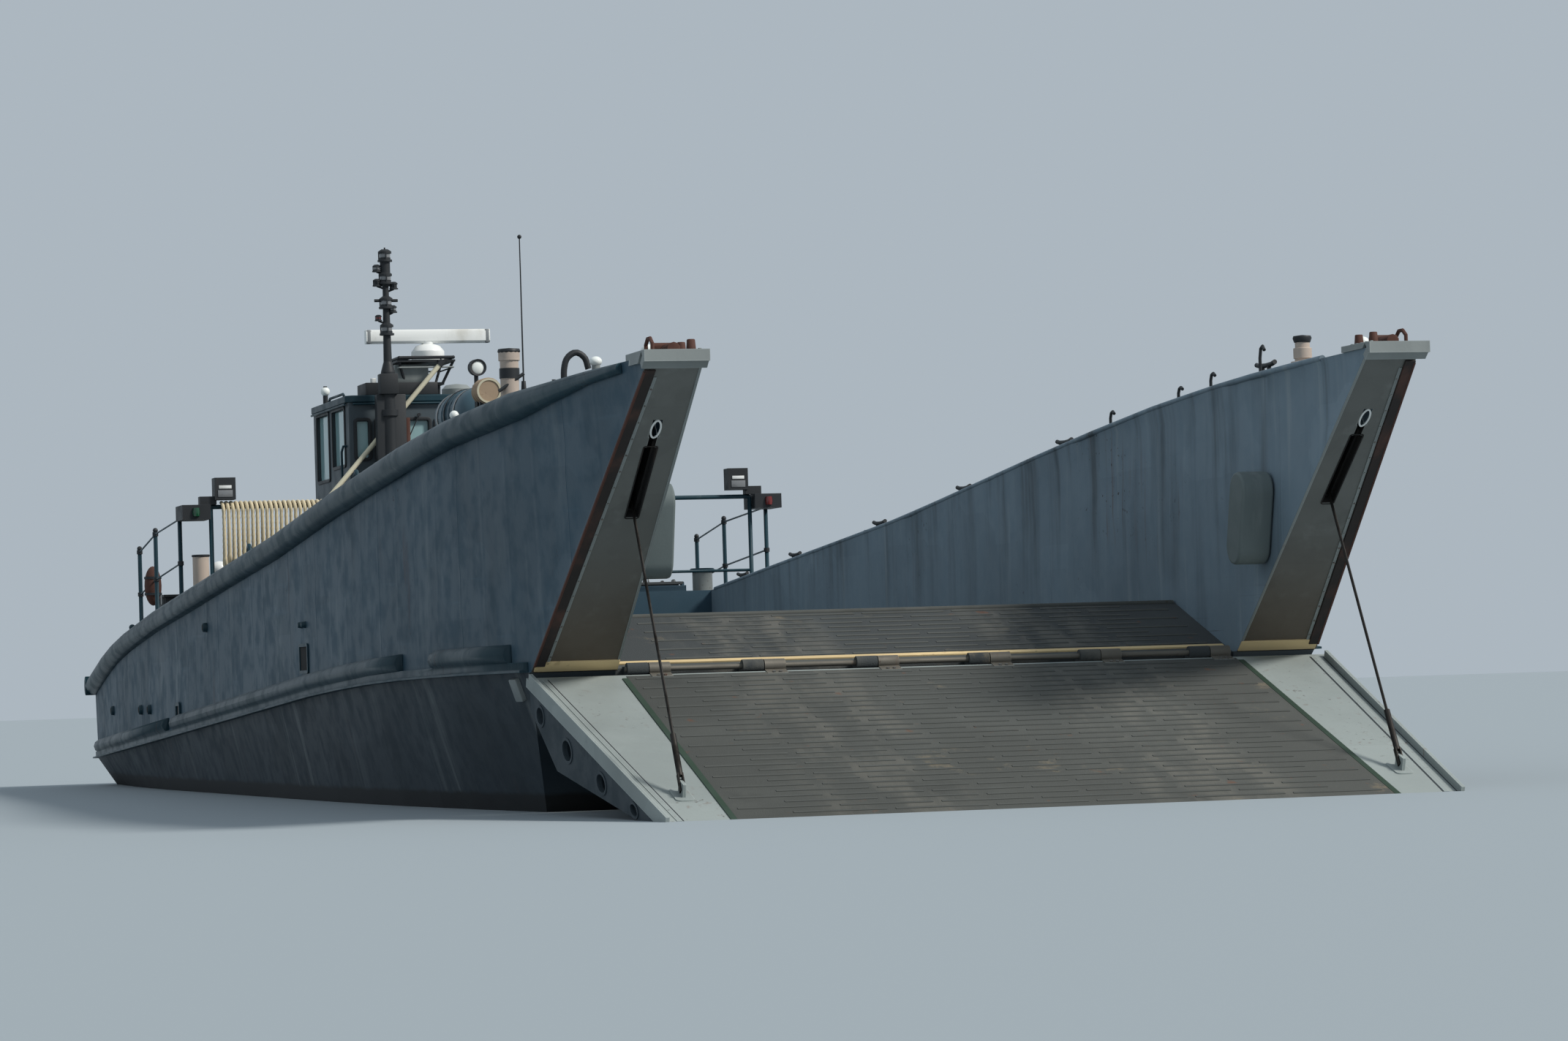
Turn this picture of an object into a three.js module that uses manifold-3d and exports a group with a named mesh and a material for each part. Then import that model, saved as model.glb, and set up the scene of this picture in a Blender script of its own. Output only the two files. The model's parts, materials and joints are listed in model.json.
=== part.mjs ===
// Mechanised landing craft: open cargo well, bow ramp lowered, pilothouse and engine room aft, twin screws.
// Millimetres. X runs forward to the bow, Y to port, Z up. The origin is amidships on the waterline.

import * as THREE from 'three';
import { mergeVertices } from 'three/addons/utils/BufferGeometryUtils.js';
import Module from 'manifold-3d';

const wasm = await Module();
wasm.setup();

// Driving dimensions of the hull
const FIT = 0.3;
const TRANSOM_X = -11100;
const WELL_AFT_X = -5300;
const WELL_HALF_WIDTH = 2210;
const WELL_FLOOR_Z = 700;
const WELL_DECK_UNDERSIDE_Z = 450;
const HINGE_X = 8700;
const HINGE_Z = 950;
const FACE_TOP_X = 11220;
const FACE_TOP_Z = 2870;
const FACE_FOOT_HALF_WIDTH = 2800;
const FACE_TOP_HALF_WIDTH = 2570;
const FACE_LENGTH = Math.hypot(FACE_TOP_X - HINGE_X, FACE_TOP_Z - HINGE_Z);
const FACE_ANGLE = Math.atan2(FACE_TOP_Z - HINGE_Z, FACE_TOP_X - HINGE_X);
const FACE_TAPER = (FACE_FOOT_HALF_WIDTH - FACE_TOP_HALF_WIDTH) / FACE_LENGTH;
const RAKE_START_X = 4500;
const FOREFOOT_X = HINGE_X - 40;
const FOREFOOT_SLOPE = 0.78;
const RAIL_RADIUS = 100;
const SEAL_WIDTH = 75;

// Lines of the hull as [x, height, half-breadth]
const SHEER = [
  [-11100, 1150, 3020], [-9000, 1450, 3080], [-6500, 1680, 3100], [-4000, 1860, 3100],
  [-1500, 2030, 3100], [1000, 2200, 3100], [3000, 2380, 3090], [5000, 2560, 3050],
  [7000, 2720, 2985], [9000, 2825, 2850], [FACE_TOP_X, FACE_TOP_Z, FACE_TOP_HALF_WIDTH],
];
const KNUCKLE = [
  [-11100, 280, 3000], [-9000, 355, 3070], [-6500, 455, 3100], [-4000, 565, 3100],
  [-1500, 680, 3100], [1000, 790, 3095], [3000, 870, 3080], [5000, 925, 3040],
  [7000, 945, 2955], [HINGE_X, HINGE_Z, FACE_FOOT_HALF_WIDTH],
];
const CHINE = [
  [-11100, -50, 2780], [-9600, -130, 2810], [-8000, -330, 2820], [-6500, -520, 2820],
  [-3000, -560, 2800], [4000, -520, 2740], [7654, -350, 2450],
];
const KEEL = [
  [-11100, -150, 0], [-9600, -300, 0], [-8000, -620, 0], [-6800, -860, 0],
  [-5000, -900, 0], [3000, -900, 0], [6000, -880, 0], [7264, -850, 0],
];
const STATIONS = [
  -11100, -10300, -9600, -8800, -8000, -7400, -6800, -5900, -5300, -4000, -2400, -800, 800, 2200, 3400, 4500,
  5600, 6600, 7500, 8200, FOREFOOT_X, HINGE_X,
];

// Well, apron and hinge
const APRON_CREST_X = 7500;
const APRON_CREST_Z = 1320;
const APRON_FOOT_X = 6450;
const SILL_X = HINGE_X - 80;
const BARREL_RADIUS = 45;
const BARREL_SIDES = 12;
const PIN_RADIUS = 18;
const PIN_BORE_RADIUS = 18.5;
const HINGE_PLACES = [-2000, -1200, -400, 400, 1200, 2000];
const BARREL_LENGTH = 145;

// Ramp, in its own frame: x outward from the hinge, z up from the driving surface
const RAMP_LOWERED = THREE.MathUtils.degToRad(18.5);
const RAMP_LENGTH = 3040;
const RAMP_TOP_Z = -20;
const RAMP_PLATE = 60;
const RAMP_ROOT_X = 60;
const RAMP_OVERHANG = 50;
const RAMP_TOE_RADIUS = 38;
const PAD_EYE_X = 2470;
const PAD_EYE_Y = 2400;
const PAD_EYE_HOLE_Z = 30;
const PAD_EYE_HOLE_RADIUS = 18;

// Hoist wires: each runs from its pad-eye through a slot in the bow face into a trunk in the wing
const WIRE_RADIUS = 10;
const WIRE_SLOT_X = 1660;
const WIRE_INSIDE = 420;
const TURNBUCKLE_RADIUS = 20;
const TURNBUCKLE_LENGTH = 300;
const TRUNK_HALF_WIDTH = 26;

// Pilothouse
const HOUSE_AFT_X = -8350;
const HOUSE_FRONT_X = -6450;
const HOUSE_HALF_WIDTH = 1100;
const HOUSE_WALL = 60;
const HOUSE_TOP_Z = 3720;
const ROOF_THICKNESS = 70;
const ROOF_OVERHANG = 30;
const SIDE_PANE_TOP_Z = 3680;
const FRONT_PANE_BOTTOM_Z = 3170;
const FRONT_PANE_TOP_Z = 3545;

// Panes of each side wall as [from, to, sill height], of the front as [from, to]
const SIDE_PANES = [[-8150, -7500, 3020], [-7300, -6650, 3120]];
const FRONT_PANES = [[-1030, -900], [-830, -300], [-230, 230], [300, 830], [900, 1030]];

// Masthead and radar
const MAST_X = -6230;
const MAST_Y = -740;
const MAST_RADIUS = 45;
const MAST_TOP_Z = 5150;
const MAST_LAMPS = [4380, 4640, 4880, 5100];
const YARD_HALF = 115;
const YARD_Z = 4700;
const RADAR_X = -6850;
const RADAR_Y = -210;
const PLATFORM_Z = 4130;
const SCANNER_LENGTH = 1250;
const SCANNER_HEIGHT = 135;
const STAY_TOP = [-6370, -200, PLATFORM_Z - 60];
const STAY_FOOT = [-6250, -2360, 1650];
const STAY_EYE_RADIUS = 32;

// Guard rails, rope and deck gear
const GUARD_RAIL_X = -5400;
const GUARD_RAIL_Z = 2680;
const GUARD_RAIL_HALF_SPAN = 2650;
const TUBE_RADIUS = 21;
const ROPE_DIAMETER = 36;
const ROPE_BEND = 80;
const ROPE_TURNS = 30;
const ROPE_PITCH = 39.8;
const ROPE_DROP = 560;
const ROPE_START_Y = -2560;

// Running gear
const SHAFT_TILT = THREE.MathUtils.degToRad(3);
const SHAFT_Y = 1250;
const PROPELLER_X = -9600;
const PROPELLER_Z = -800;
const PROPELLER_RADIUS = 400;
const SHAFT_RADIUS = 38;
const BLADE_PITCH = 0.62;
const RUDDER_X = -10500;
const RUDDER_STOCK_RADIUS = 42;
const SHAFT_SIDES = 20;
const BORE_GAP = 0.9;

// Hatches and the door share one pattern of leaf: a panel hung on two barrels beside its frame
const LEAF_THICKNESS = 24;
const LEAF_START = 15;
const LEAF_SEAT = 25;
const LEAF_BARREL_RADIUS = 14;
const HATCH_SIZE = 620;
const DOOR_WIDTH = 700;
const DOOR_HEIGHT = 1800;
const DOOR_AXIS_Y = 870;
const DOOR_MIDDLE_Z = 2620;

const paints = {
  hull: { color: 0x6b7984, roughness: 0.6, metalness: 0.1 },
  rail: { color: 0x4d5b66, roughness: 0.65, metalness: 0.1 },
  bottom: { color: 0x32363b, roughness: 0.75, metalness: 0.05 },
  deck: { color: 0x4a4e52, roughness: 0.9, metalness: 0.05 },
  ramp: { color: 0x8d949a, roughness: 0.65, metalness: 0.15 },
  light: { color: 0xa3a8aa, roughness: 0.55, metalness: 0.1 },
  dark: { color: 0x26282b, roughness: 0.6, metalness: 0.3 },
  rubber: { color: 0x2b2422, roughness: 0.85, metalness: 0 },
  steel: { color: 0x777a7c, roughness: 0.45, metalness: 0.8 },
  bronze: { color: 0x9a7440, roughness: 0.4, metalness: 0.9 },
  white: { color: 0xe6e7e5, roughness: 0.4, metalness: 0 },
  canister: { color: 0x8b9092, roughness: 0.5, metalness: 0 },
  tan: { color: 0x9b8264, roughness: 0.7, metalness: 0 },
  cream: { color: 0xcfc6ac, roughness: 0.8, metalness: 0 },
  rope: { color: 0xc9bd9c, roughness: 0.95, metalness: 0 },
};

// Closed solids from geometries, and back

function solid(geometry) {
  const bare = geometry.clone();
  bare.deleteAttribute('normal');
  bare.deleteAttribute('uv');
  const merged = mergeVertices(bare, 0.002);
  const corners = merged.index.array;
  const kept = [];
  for (let i = 0; i < corners.length; i += 3) {
    const [a, b, c] = corners.slice(i, i + 3);
    if (a !== b && b !== c && c !== a) {
      kept.push(a, b, c);
    }
  }
  const vertProperties = new Float32Array(merged.attributes.position.array);
  const mesh = new wasm.Mesh({ numProp: 3, vertProperties, triVerts: new Uint32Array(kept) });
  return new wasm.Manifold(mesh);
}

function geometryOf(manifold) {
  const mesh = manifold.getMesh();
  const geometry = new THREE.BufferGeometry();
  geometry.setAttribute('position', new THREE.BufferAttribute(mesh.vertProperties, 3));
  geometry.setIndex(new THREE.BufferAttribute(mesh.triVerts, 1));
  return geometry;
}

function join(...pieces) {
  return geometryOf(pieces.map(solid).reduce((all, piece) => all.add(piece)));
}

function cut(base, ...tools) {
  return geometryOf(tools.map(solid).reduce((rest, tool) => rest.subtract(tool), solid(base)));
}

function common(a, b) {
  return geometryOf(solid(a).intersect(solid(b)));
}

// Shapes

function block(x0, x1, y0, y1, z0, z1) {
  const shape = new THREE.BoxGeometry(x1 - x0, y1 - y0, z1 - z0);
  return shape.translate((x0 + x1) / 2, (y0 + y1) / 2, (z0 + z1) / 2);
}

function bar(from, to, radius, sides = 12, endRadius = radius) {
  const a = new THREE.Vector3(...from);
  const b = new THREE.Vector3(...to);
  const shape = new THREE.CylinderGeometry(endRadius, radius, a.distanceTo(b), sides);
  const along = b.clone().sub(a).normalize();
  const turn = new THREE.Quaternion().setFromUnitVectors(new THREE.Vector3(0, 1, 0), along);
  return shape.applyQuaternion(turn).translate(...a.add(b).multiplyScalar(0.5).toArray());
}

function ball(x, y, z, radius) {
  return new THREE.SphereGeometry(radius, 14, 8).translate(x, y, z);
}

// Outline in X and Z, drawn out along Y
function profileY(points, y0, y1, holes = []) {
  const shape = new THREE.Shape(points.map(([x, z]) => new THREE.Vector2(x, z)));
  shape.holes.push(...holes);
  const drawn = new THREE.ExtrudeGeometry(shape, { depth: y1 - y0, bevelEnabled: false, curveSegments: 8 });
  return drawn.rotateX(Math.PI / 2).translate(0, y1, 0);
}

// Outline in X and Y, drawn out along Z
function profileZ(points, z0, z1) {
  const shape = new THREE.Shape(points.map(([x, y]) => new THREE.Vector2(x, y)));
  return new THREE.ExtrudeGeometry(shape, { depth: z1 - z0, bevelEnabled: false }).translate(0, 0, z0);
}

function oval(x, z, rx, rz) {
  return new THREE.Path().absellipse(x, z, rx, rz, 0, Math.PI * 2, true);
}

function turned(points, sides = 20) {
  const profile = points.map(([r, z]) => new THREE.Vector2(r, z));
  return new THREE.LatheGeometry(profile, sides).rotateX(Math.PI / 2);
}

function bentTube(points, radius, steps, sides = 8) {
  const route = new THREE.CatmullRomCurve3(points.map((p) => new THREE.Vector3(...p)), false, 'centripetal');
  const ring = new THREE.Shape();
  for (let i = 0; i < sides; i++) {
    const angle = (i / sides) * Math.PI * 2;
    const x = radius * Math.cos(angle);
    const y = radius * Math.sin(angle);
    if (i === 0) {
      ring.moveTo(x, y);
    } else {
      ring.lineTo(x, y);
    }
  }
  return new THREE.ExtrudeGeometry(ring, { steps, bevelEnabled: false, extrudePath: route });
}

// Rings of equal count, each anticlockwise in Y and Z, joined into one closed body
function loft(rings) {
  const count = rings[0].length;
  const index = [];
  for (let i = 0; i < rings.length - 1; i++) {
    for (let j = 0; j < count; j++) {
      const a = i * count + j;
      const b = i * count + ((j + 1) % count);
      index.push(a, b, b + count, a, b + count, a + count);
    }
  }
  const last = (rings.length - 1) * count;
  for (const [ring, start, facesForward] of [[rings[0], 0, false], [rings[rings.length - 1], last, true]]) {
    const outline = ring.map(([, y, z]) => new THREE.Vector2(y, z));
    for (const [a, b, c] of THREE.ShapeUtils.triangulateShape(outline, [])) {
      const anticlockwise = THREE.ShapeUtils.area([outline[a], outline[b], outline[c]]) > 0;
      const others = anticlockwise === facesForward ? [b, c] : [c, b];
      index.push(start + a, start + others[0], start + others[1]);
    }
  }
  const geometry = new THREE.BufferGeometry();
  geometry.setAttribute('position', new THREE.Float32BufferAttribute(rings.flat(2), 3));
  geometry.setIndex(index);
  return geometry;
}

// Hull lines

function lineAt(line, x) {
  const last = line.length - 1;
  const start = Math.max(0, Math.min(last - 1, line.findIndex((point) => point[0] > x) - 1));
  const i = x >= line[last][0] ? last - 1 : start;
  const from = line[i];
  const to = line[i + 1];
  const t = THREE.MathUtils.clamp((x - from[0]) / (to[0] - from[0]), 0, 1);
  const slope = (a, b, column) => (b[column] - a[column]) / (b[0] - a[0]);
  const value = (column) => {
    const here = slope(from, to, column);
    const before = i > 0 ? slope(line[i - 1], from, column) : here;
    const after = i + 2 <= last ? slope(to, line[i + 2], column) : here;
    const span = to[0] - from[0];
    const m0 = ((here + before) / 2) * span;
    const m1 = ((here + after) / 2) * span;
    const t2 = t * t;
    const t3 = t2 * t;
    return (2 * t3 - 3 * t2 + 1) * from[column] + (t3 - 2 * t2 + t) * m0
      + (3 * t2 - 2 * t3) * to[column] + (t3 - t2) * m1;
  };
  return { z: value(1), y: value(2) };
}

function rakeShare(x) {
  return Math.max(0, (x - RAKE_START_X) / (HINGE_X - RAKE_START_X)) ** 2;
}

// Knuckle and sheer points of the station at knuckle position x, with breadths as positive numbers
function upperStation(x) {
  const sheerX = x + rakeShare(x) * (FACE_TOP_X - HINGE_X);
  return { x, sheerX, knuckle: lineAt(KNUCKLE, x), sheer: lineAt(SHEER, sheerX) };
}

function upperRings(from, to, ringOf) {
  return STATIONS.filter((x) => x > from && x < to).concat(from, to).sort((a, b) => a - b)
    .map((x) => ringOf(upperStation(x)));
}

// The hull above the knuckle as if it had no well, grown outward and upward
function upperEnvelope(out, up) {
  return loft(upperRings(TRANSOM_X, HINGE_X, ({ x, sheerX, knuckle, sheer }) => [
    [x, -knuckle.y - out, knuckle.z - 40], [x, knuckle.y + out, knuckle.z - 40],
    [sheerX, sheer.y + out, sheer.z + up], [sheerX, -sheer.y - out, sheer.z + up],
  ]));
}

function lowerRings(out) {
  return STATIONS.filter((x) => x <= FOREFOOT_X).map((x) => {
    const share = rakeShare(x);
    const knuckle = lineAt(KNUCKLE, x);
    const chineX = x - share * FOREFOOT_SLOPE * (HINGE_Z - 10 + 350);
    const keelX = x - share * FOREFOOT_SLOPE * (HINGE_Z - 10 + 850);
    const chine = lineAt(CHINE, chineX);
    const keel = lineAt(KEEL, keelX);
    return [
      [chineX, -chine.y - out, chine.z - out], [keelX, 0, keel.z - out],
      [chineX, chine.y + out, chine.z - out], [x, knuckle.y + out, knuckle.z],
      [x, -knuckle.y - out, knuckle.z],
    ];
  });
}

const deckCutter = upperEnvelope(FIT, FIT);
const seat = (geometry) => cut(geometry, deckCutter);
const deckZ = (x) => lineAt(SHEER, x).z;
const bottomCutter = loft(lowerRings(FIT));

// Hull

function shaftPoint(x) {
  return PROPELLER_Z + (x - PROPELLER_X) * Math.tan(SHAFT_TILT);
}

function lowerHull() {
  const inner = WELL_HALF_WIDTH;
  const trough = block(WELL_AFT_X, HINGE_X + 400, -inner, inner, WELL_DECK_UNDERSIDE_Z, 2000);
  const skeg = profileY([
    [-3500, -800], [-10000, -200], [-10000, -420], [-9300, -1200], [-4300, -1200],
  ], -70, 70);
  const sleeves = [-SHAFT_Y, SHAFT_Y].map((y) =>
    bar([-8250, y, shaftPoint(-8250)], [-6900, y, shaftPoint(-6900)], 75, 14));
  const bores = [-SHAFT_Y, SHAFT_Y].map((y) =>
    bar([-8300, y, shaftPoint(-8300)], [-8080, y, shaftPoint(-8080)], SHAFT_RADIUS + BORE_GAP, SHAFT_SIDES));
  const stockBores = [-SHAFT_Y, SHAFT_Y].map((y) =>
    bar([RUDDER_X, y, -500], [RUDDER_X, y, 61], RUDDER_STOCK_RADIUS + BORE_GAP, SHAFT_SIDES));
  return cut(join(loft(lowerRings(0)), skeg, ...sleeves), trough, ...bores, ...stockBores);
}

// A piece drawn in the frame of the bow face, x up the face and z into the hull
function onFace(geometry) {
  return geometry.rotateY(-FACE_ANGLE).translate(HINGE_X, 0, HINGE_Z);
}

// Hoist wire in the ramp's frame as [x, z]: the pad-eye's hole, its direction and the end inside the wing
function wireEnds() {
  const eye = new THREE.Vector2(PAD_EYE_X, PAD_EYE_HOLE_Z);
  const opening = FACE_ANGLE + RAMP_LOWERED;
  const slot = new THREE.Vector2(WIRE_SLOT_X * Math.cos(opening), WIRE_SLOT_X * Math.sin(opening));
  const along = slot.clone().sub(eye).normalize();
  return { eye, along, inside: slot.clone().addScaledVector(along, WIRE_INSIDE) };
}

// The space that the wire sweeps inside the wing while the ramp closes, in the frame of the bow face
function wireTrunk(y) {
  const { eye, along, inside } = wireEnds();
  const margin = 35;
  const outward = new THREE.Vector2(along.y, -along.x);
  const nearest = outward.dot(eye);
  const outer = inside.length() + margin;
  const inner = nearest - margin + 5;
  const end = inside.angle() + 0.04;
  const turn = outward.angle() - Math.acos((nearest + margin) / outer);
  const shape = new THREE.Shape();
  shape.moveTo(inner, -50);
  shape.lineTo(eye.x + margin, -50);
  shape.lineTo(eye.x + margin, 50);
  shape.absarc(0, 0, outer, turn, end, false);
  shape.absarc(0, 0, inner, end, 0, true);
  const width = 2 * TRUNK_HALF_WIDTH;
  const drawn = new THREE.ExtrudeGeometry(shape, { depth: width, bevelEnabled: false, curveSegments: 10 });
  return drawn.rotateX(Math.PI / 2).translate(0, y + TRUNK_HALF_WIDTH, 0);
}

function wing(side) {
  const rings = upperRings(WELL_AFT_X, HINGE_X, ({ x, sheerX, knuckle, sheer }) => {
    const ring = [
      [x, -knuckle.y, knuckle.z + FIT], [x, -WELL_HALF_WIDTH, knuckle.z + FIT],
      [sheerX, -WELL_HALF_WIDTH, sheer.z], [sheerX, -sheer.y, sheer.z],
    ];
    return side < 0 ? ring : ring.map(([px, py, pz]) => [px, -py, pz]).reverse();
  });
  const y = side * PAD_EYE_Y;
  const slot = onFace(block(1600, 2290, y - 42, y + 42, -50, 60));
  const pocket = onFace(block(PAD_EYE_X - 85, PAD_EYE_X + 85, y - 32, y + 32, -50, 100));
  return cut(loft(rings), slot, pocket, onFace(wireTrunk(y)));
}

const HATCHES = [
  // name, middle x, axis y, coaming top height, turn about Z
  ['engine_hatch_starboard', -5820, -2000, 1830, Math.PI / 2],
  ['engine_hatch_port', -5820, 2000, 1830, -Math.PI / 2],
  ['lazarette_hatch', -10020, 0, 1480, Math.PI],
];

function hatchPlace([, x, y, z, turn]) {
  const centre = LEAF_START + HATCH_SIZE / 2;
  const originX = turn === Math.PI ? x + centre : x;
  return new THREE.Matrix4().makeRotationZ(turn).setPosition(originX, y, z + LEAF_SEAT);
}

function coaming(hatch) {
  const half = HATCH_SIZE / 2;
  const outer = block(-LEAF_BARREL_RADIUS, LEAF_START + HATCH_SIZE, -half, half, -400, -LEAF_SEAT);
  return join(outer, ...leafLugs(HATCH_SIZE)).applyMatrix4(hatchPlace(hatch));
}

function hatchPit(hatch) {
  const rim = 50;
  const half = HATCH_SIZE / 2 - rim;
  const pit = block(LEAF_START + rim, LEAF_START + HATCH_SIZE - rim, -half, half, -500, 0);
  return pit.applyMatrix4(hatchPlace(hatch));
}

function afterBody() {
  const rings = upperRings(TRANSOM_X, WELL_AFT_X - FIT, ({ x, knuckle, sheer }) => [
    [x, -knuckle.y, knuckle.z + FIT], [x, knuckle.y, knuckle.z + FIT],
    [x, sheer.y, sheer.z], [x, -sheer.y, sheer.z],
  ]);
  return cut(join(loft(rings), ...HATCHES.map(coaming)), ...HATCHES.map(hatchPit));
}

function barrel(y0, y1) {
  return bar([HINGE_X, y0, HINGE_Z], [HINGE_X, y1, HINGE_Z], BARREL_RADIUS, BARREL_SIDES);
}

function wellDeck() {
  const half = WELL_HALF_WIDTH - FIT;
  const noseX = (z) => FOREFOOT_X - FOREFOOT_SLOPE * (HINGE_Z - 10 - z);
  const bottom = WELL_DECK_UNDERSIDE_Z + FIT;
  const sillFootZ = HINGE_Z - 10 - (FOREFOOT_X - SILL_X) / FOREFOOT_SLOPE;
  const floor = profileY([
    [WELL_AFT_X + FIT, bottom], [noseX(bottom), bottom], [SILL_X, sillFootZ], [SILL_X, HINGE_Z],
    [APRON_CREST_X, APRON_CREST_Z], [APRON_FOOT_X, WELL_FLOOR_Z], [WELL_AFT_X + FIT, WELL_FLOOR_Z],
  ], -half, half);
  const lugs = HINGE_PLACES.flatMap((y) => [
    barrel(y - BARREL_LENGTH - 3, y - 3),
    block(SILL_X - 60, HINGE_X, y - BARREL_LENGTH - 3, y - 3, HINGE_Z - 40, HINGE_Z + 20),
  ]);
  const bore = bar([HINGE_X, -3000, HINGE_Z], [HINGE_X, 3000, HINGE_Z], PIN_BORE_RADIUS, 16);
  return cut(join(floor, ...lugs), bore);
}

function sheerRail(side) {
  const rings = [];
  const end = 8480;
  const stations = STATIONS.filter((x) => x < end).concat(end);
  for (const x of stations) {
    const { sheerX, sheer } = upperStation(x);
    const radius = THREE.MathUtils.lerp(RAIL_RADIUS, 35, THREE.MathUtils.smoothstep(sheerX, 8600, 10700));
    const sides = 12;
    rings.push(Array.from({ length: sides }, (_, i) => {
      const angle = (i / sides) * Math.PI * 2;
      const middle = sheer.z - radius;
      return [sheerX, side * sheer.y + radius * Math.cos(angle), middle + radius * Math.sin(angle)];
    }));
  }
  return cut(loft(rings), deckCutter);
}

function sternRail() {
  const middle = deckZ(TRANSOM_X) - RAIL_RADIUS;
  const reach = lineAt(SHEER, TRANSOM_X).y + RAIL_RADIUS;
  const rod = bar([TRANSOM_X, -reach, middle], [TRANSOM_X, reach, middle], RAIL_RADIUS, 12);
  const ahead = block(TRANSOM_X - FIT, TRANSOM_X + 400, -reach - 50, reach + 50, middle - 300, middle + 300);
  return cut(rod, ahead);
}

// Band along the knuckle, with its lip, and the lengths of half-round rail above it as [from, to]
const LOWER_RAIL_RUNS = [[-10950, -5400], [-5000, 5500], [6500, 8300]];

function knuckleRail(side) {
  const strip = (from, to, ring) => loft(
    STATIONS.filter((x) => x > from && x < to).concat(from, to).sort((a, b) => a - b).map((x) => {
      const { knuckle } = upperStation(x);
      const points = ring(x, knuckle).map(([y, z]) => [x, side * y, z]);
      return side > 0 ? points : points.reverse();
    }),
  );
  const band = strip(TRANSOM_X, HINGE_X - 60, (x, k) => [
    [k.y - 40, k.z + 1], [k.y + 62, k.z + 1], [k.y + 62, k.z + 16], [k.y + 30, k.z + 22],
    [k.y + 30, k.z + 70], [k.y - 40, k.z + 70],
  ]);
  const radius = 72;
  const runs = LOWER_RAIL_RUNS.map(([from, to]) => strip(from, to, (x, k) =>
    Array.from({ length: 10 }, (_, i) => {
      const angle = (i / 10) * Math.PI * 2;
      return [k.y - 8 + radius * Math.cos(angle), k.z + 125 + radius * Math.sin(angle)];
    })));
  return cut(join(band, ...runs), deckCutter);
}

function bowSeal(side) {
  const edge = (x) => side * (FACE_FOOT_HALF_WIDTH - FACE_TAPER * x);
  const inner = (x) => edge(x) - side * SEAL_WIDTH;
  const low = 70;
  const high = 3040;
  const outline = [[low, edge(low)], [high, edge(high)], [high, inner(high)], [low, inner(low)]];
  return onFace(profileZ(outline, -14, -FIT));
}

function bowCap(side) {
  const y0 = side * (WELL_HALF_WIDTH - 15);
  const y1 = side * (FACE_TOP_HALF_WIDTH + 45);
  const low = Math.min(y0, y1);
  const high = Math.max(y0, y1);
  const plateAft = FACE_TOP_X - 420;
  const plate = block(plateAft, FACE_TOP_X + 55, low, high, FACE_TOP_Z - 40, FACE_TOP_Z + 34);
  const flange = onFace(block(FACE_LENGTH - 70, FACE_LENGTH + 20, low, high, -46, 60));
  const chockZ = FACE_TOP_Z + 44;
  const hornX = FACE_TOP_X - 250;
  const hornZ = FACE_TOP_Z + 66;
  const chock = bar([FACE_TOP_X - 330, side * 2400, chockZ], [FACE_TOP_X - 40, side * 2400, chockZ], 42, 10);
  const horn = bar([hornX, side * 2330, hornZ], [hornX, side * 2490, hornZ], 30, 10);
  const keepOut = onFace(block(-100, FACE_LENGTH + 200, -3000, 3000, -FIT, 1500));
  const near = block(plateAft, FACE_TOP_X + 200, low - 50, high + 50, FACE_TOP_Z - 300, FACE_TOP_Z + 200);
  const front = cut(common(flange, near), keepOut);
  return join(cut(seat(plate), onFace(block(0, FACE_LENGTH, -3000, 3000, -FIT, 40))), front, chock, horn);
}

function sheaveHousing(side) {
  const depth = 230;
  const radius = 130;
  const halfHeight = 190;
  const lean = 0.25;
  const outline = new THREE.Shape();
  outline.absarc(0, halfHeight, radius, 0, Math.PI);
  outline.absarc(0, -halfHeight, radius, Math.PI, Math.PI * 2);
  const drawn = new THREE.ExtrudeGeometry(outline, { depth, bevelEnabled: false, curveSegments: 8 });
  const y0 = side > 0 ? WELL_HALF_WIDTH - FIT : -(WELL_HALF_WIDTH - FIT - depth);
  return drawn.rotateX(Math.PI / 2).rotateY(lean).translate(9330, y0, 1850);
}

// Ramp

function rampHalfWidth(x) {
  return FACE_FOOT_HALF_WIDTH + RAMP_OVERHANG - FACE_TAPER * x;
}

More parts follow.
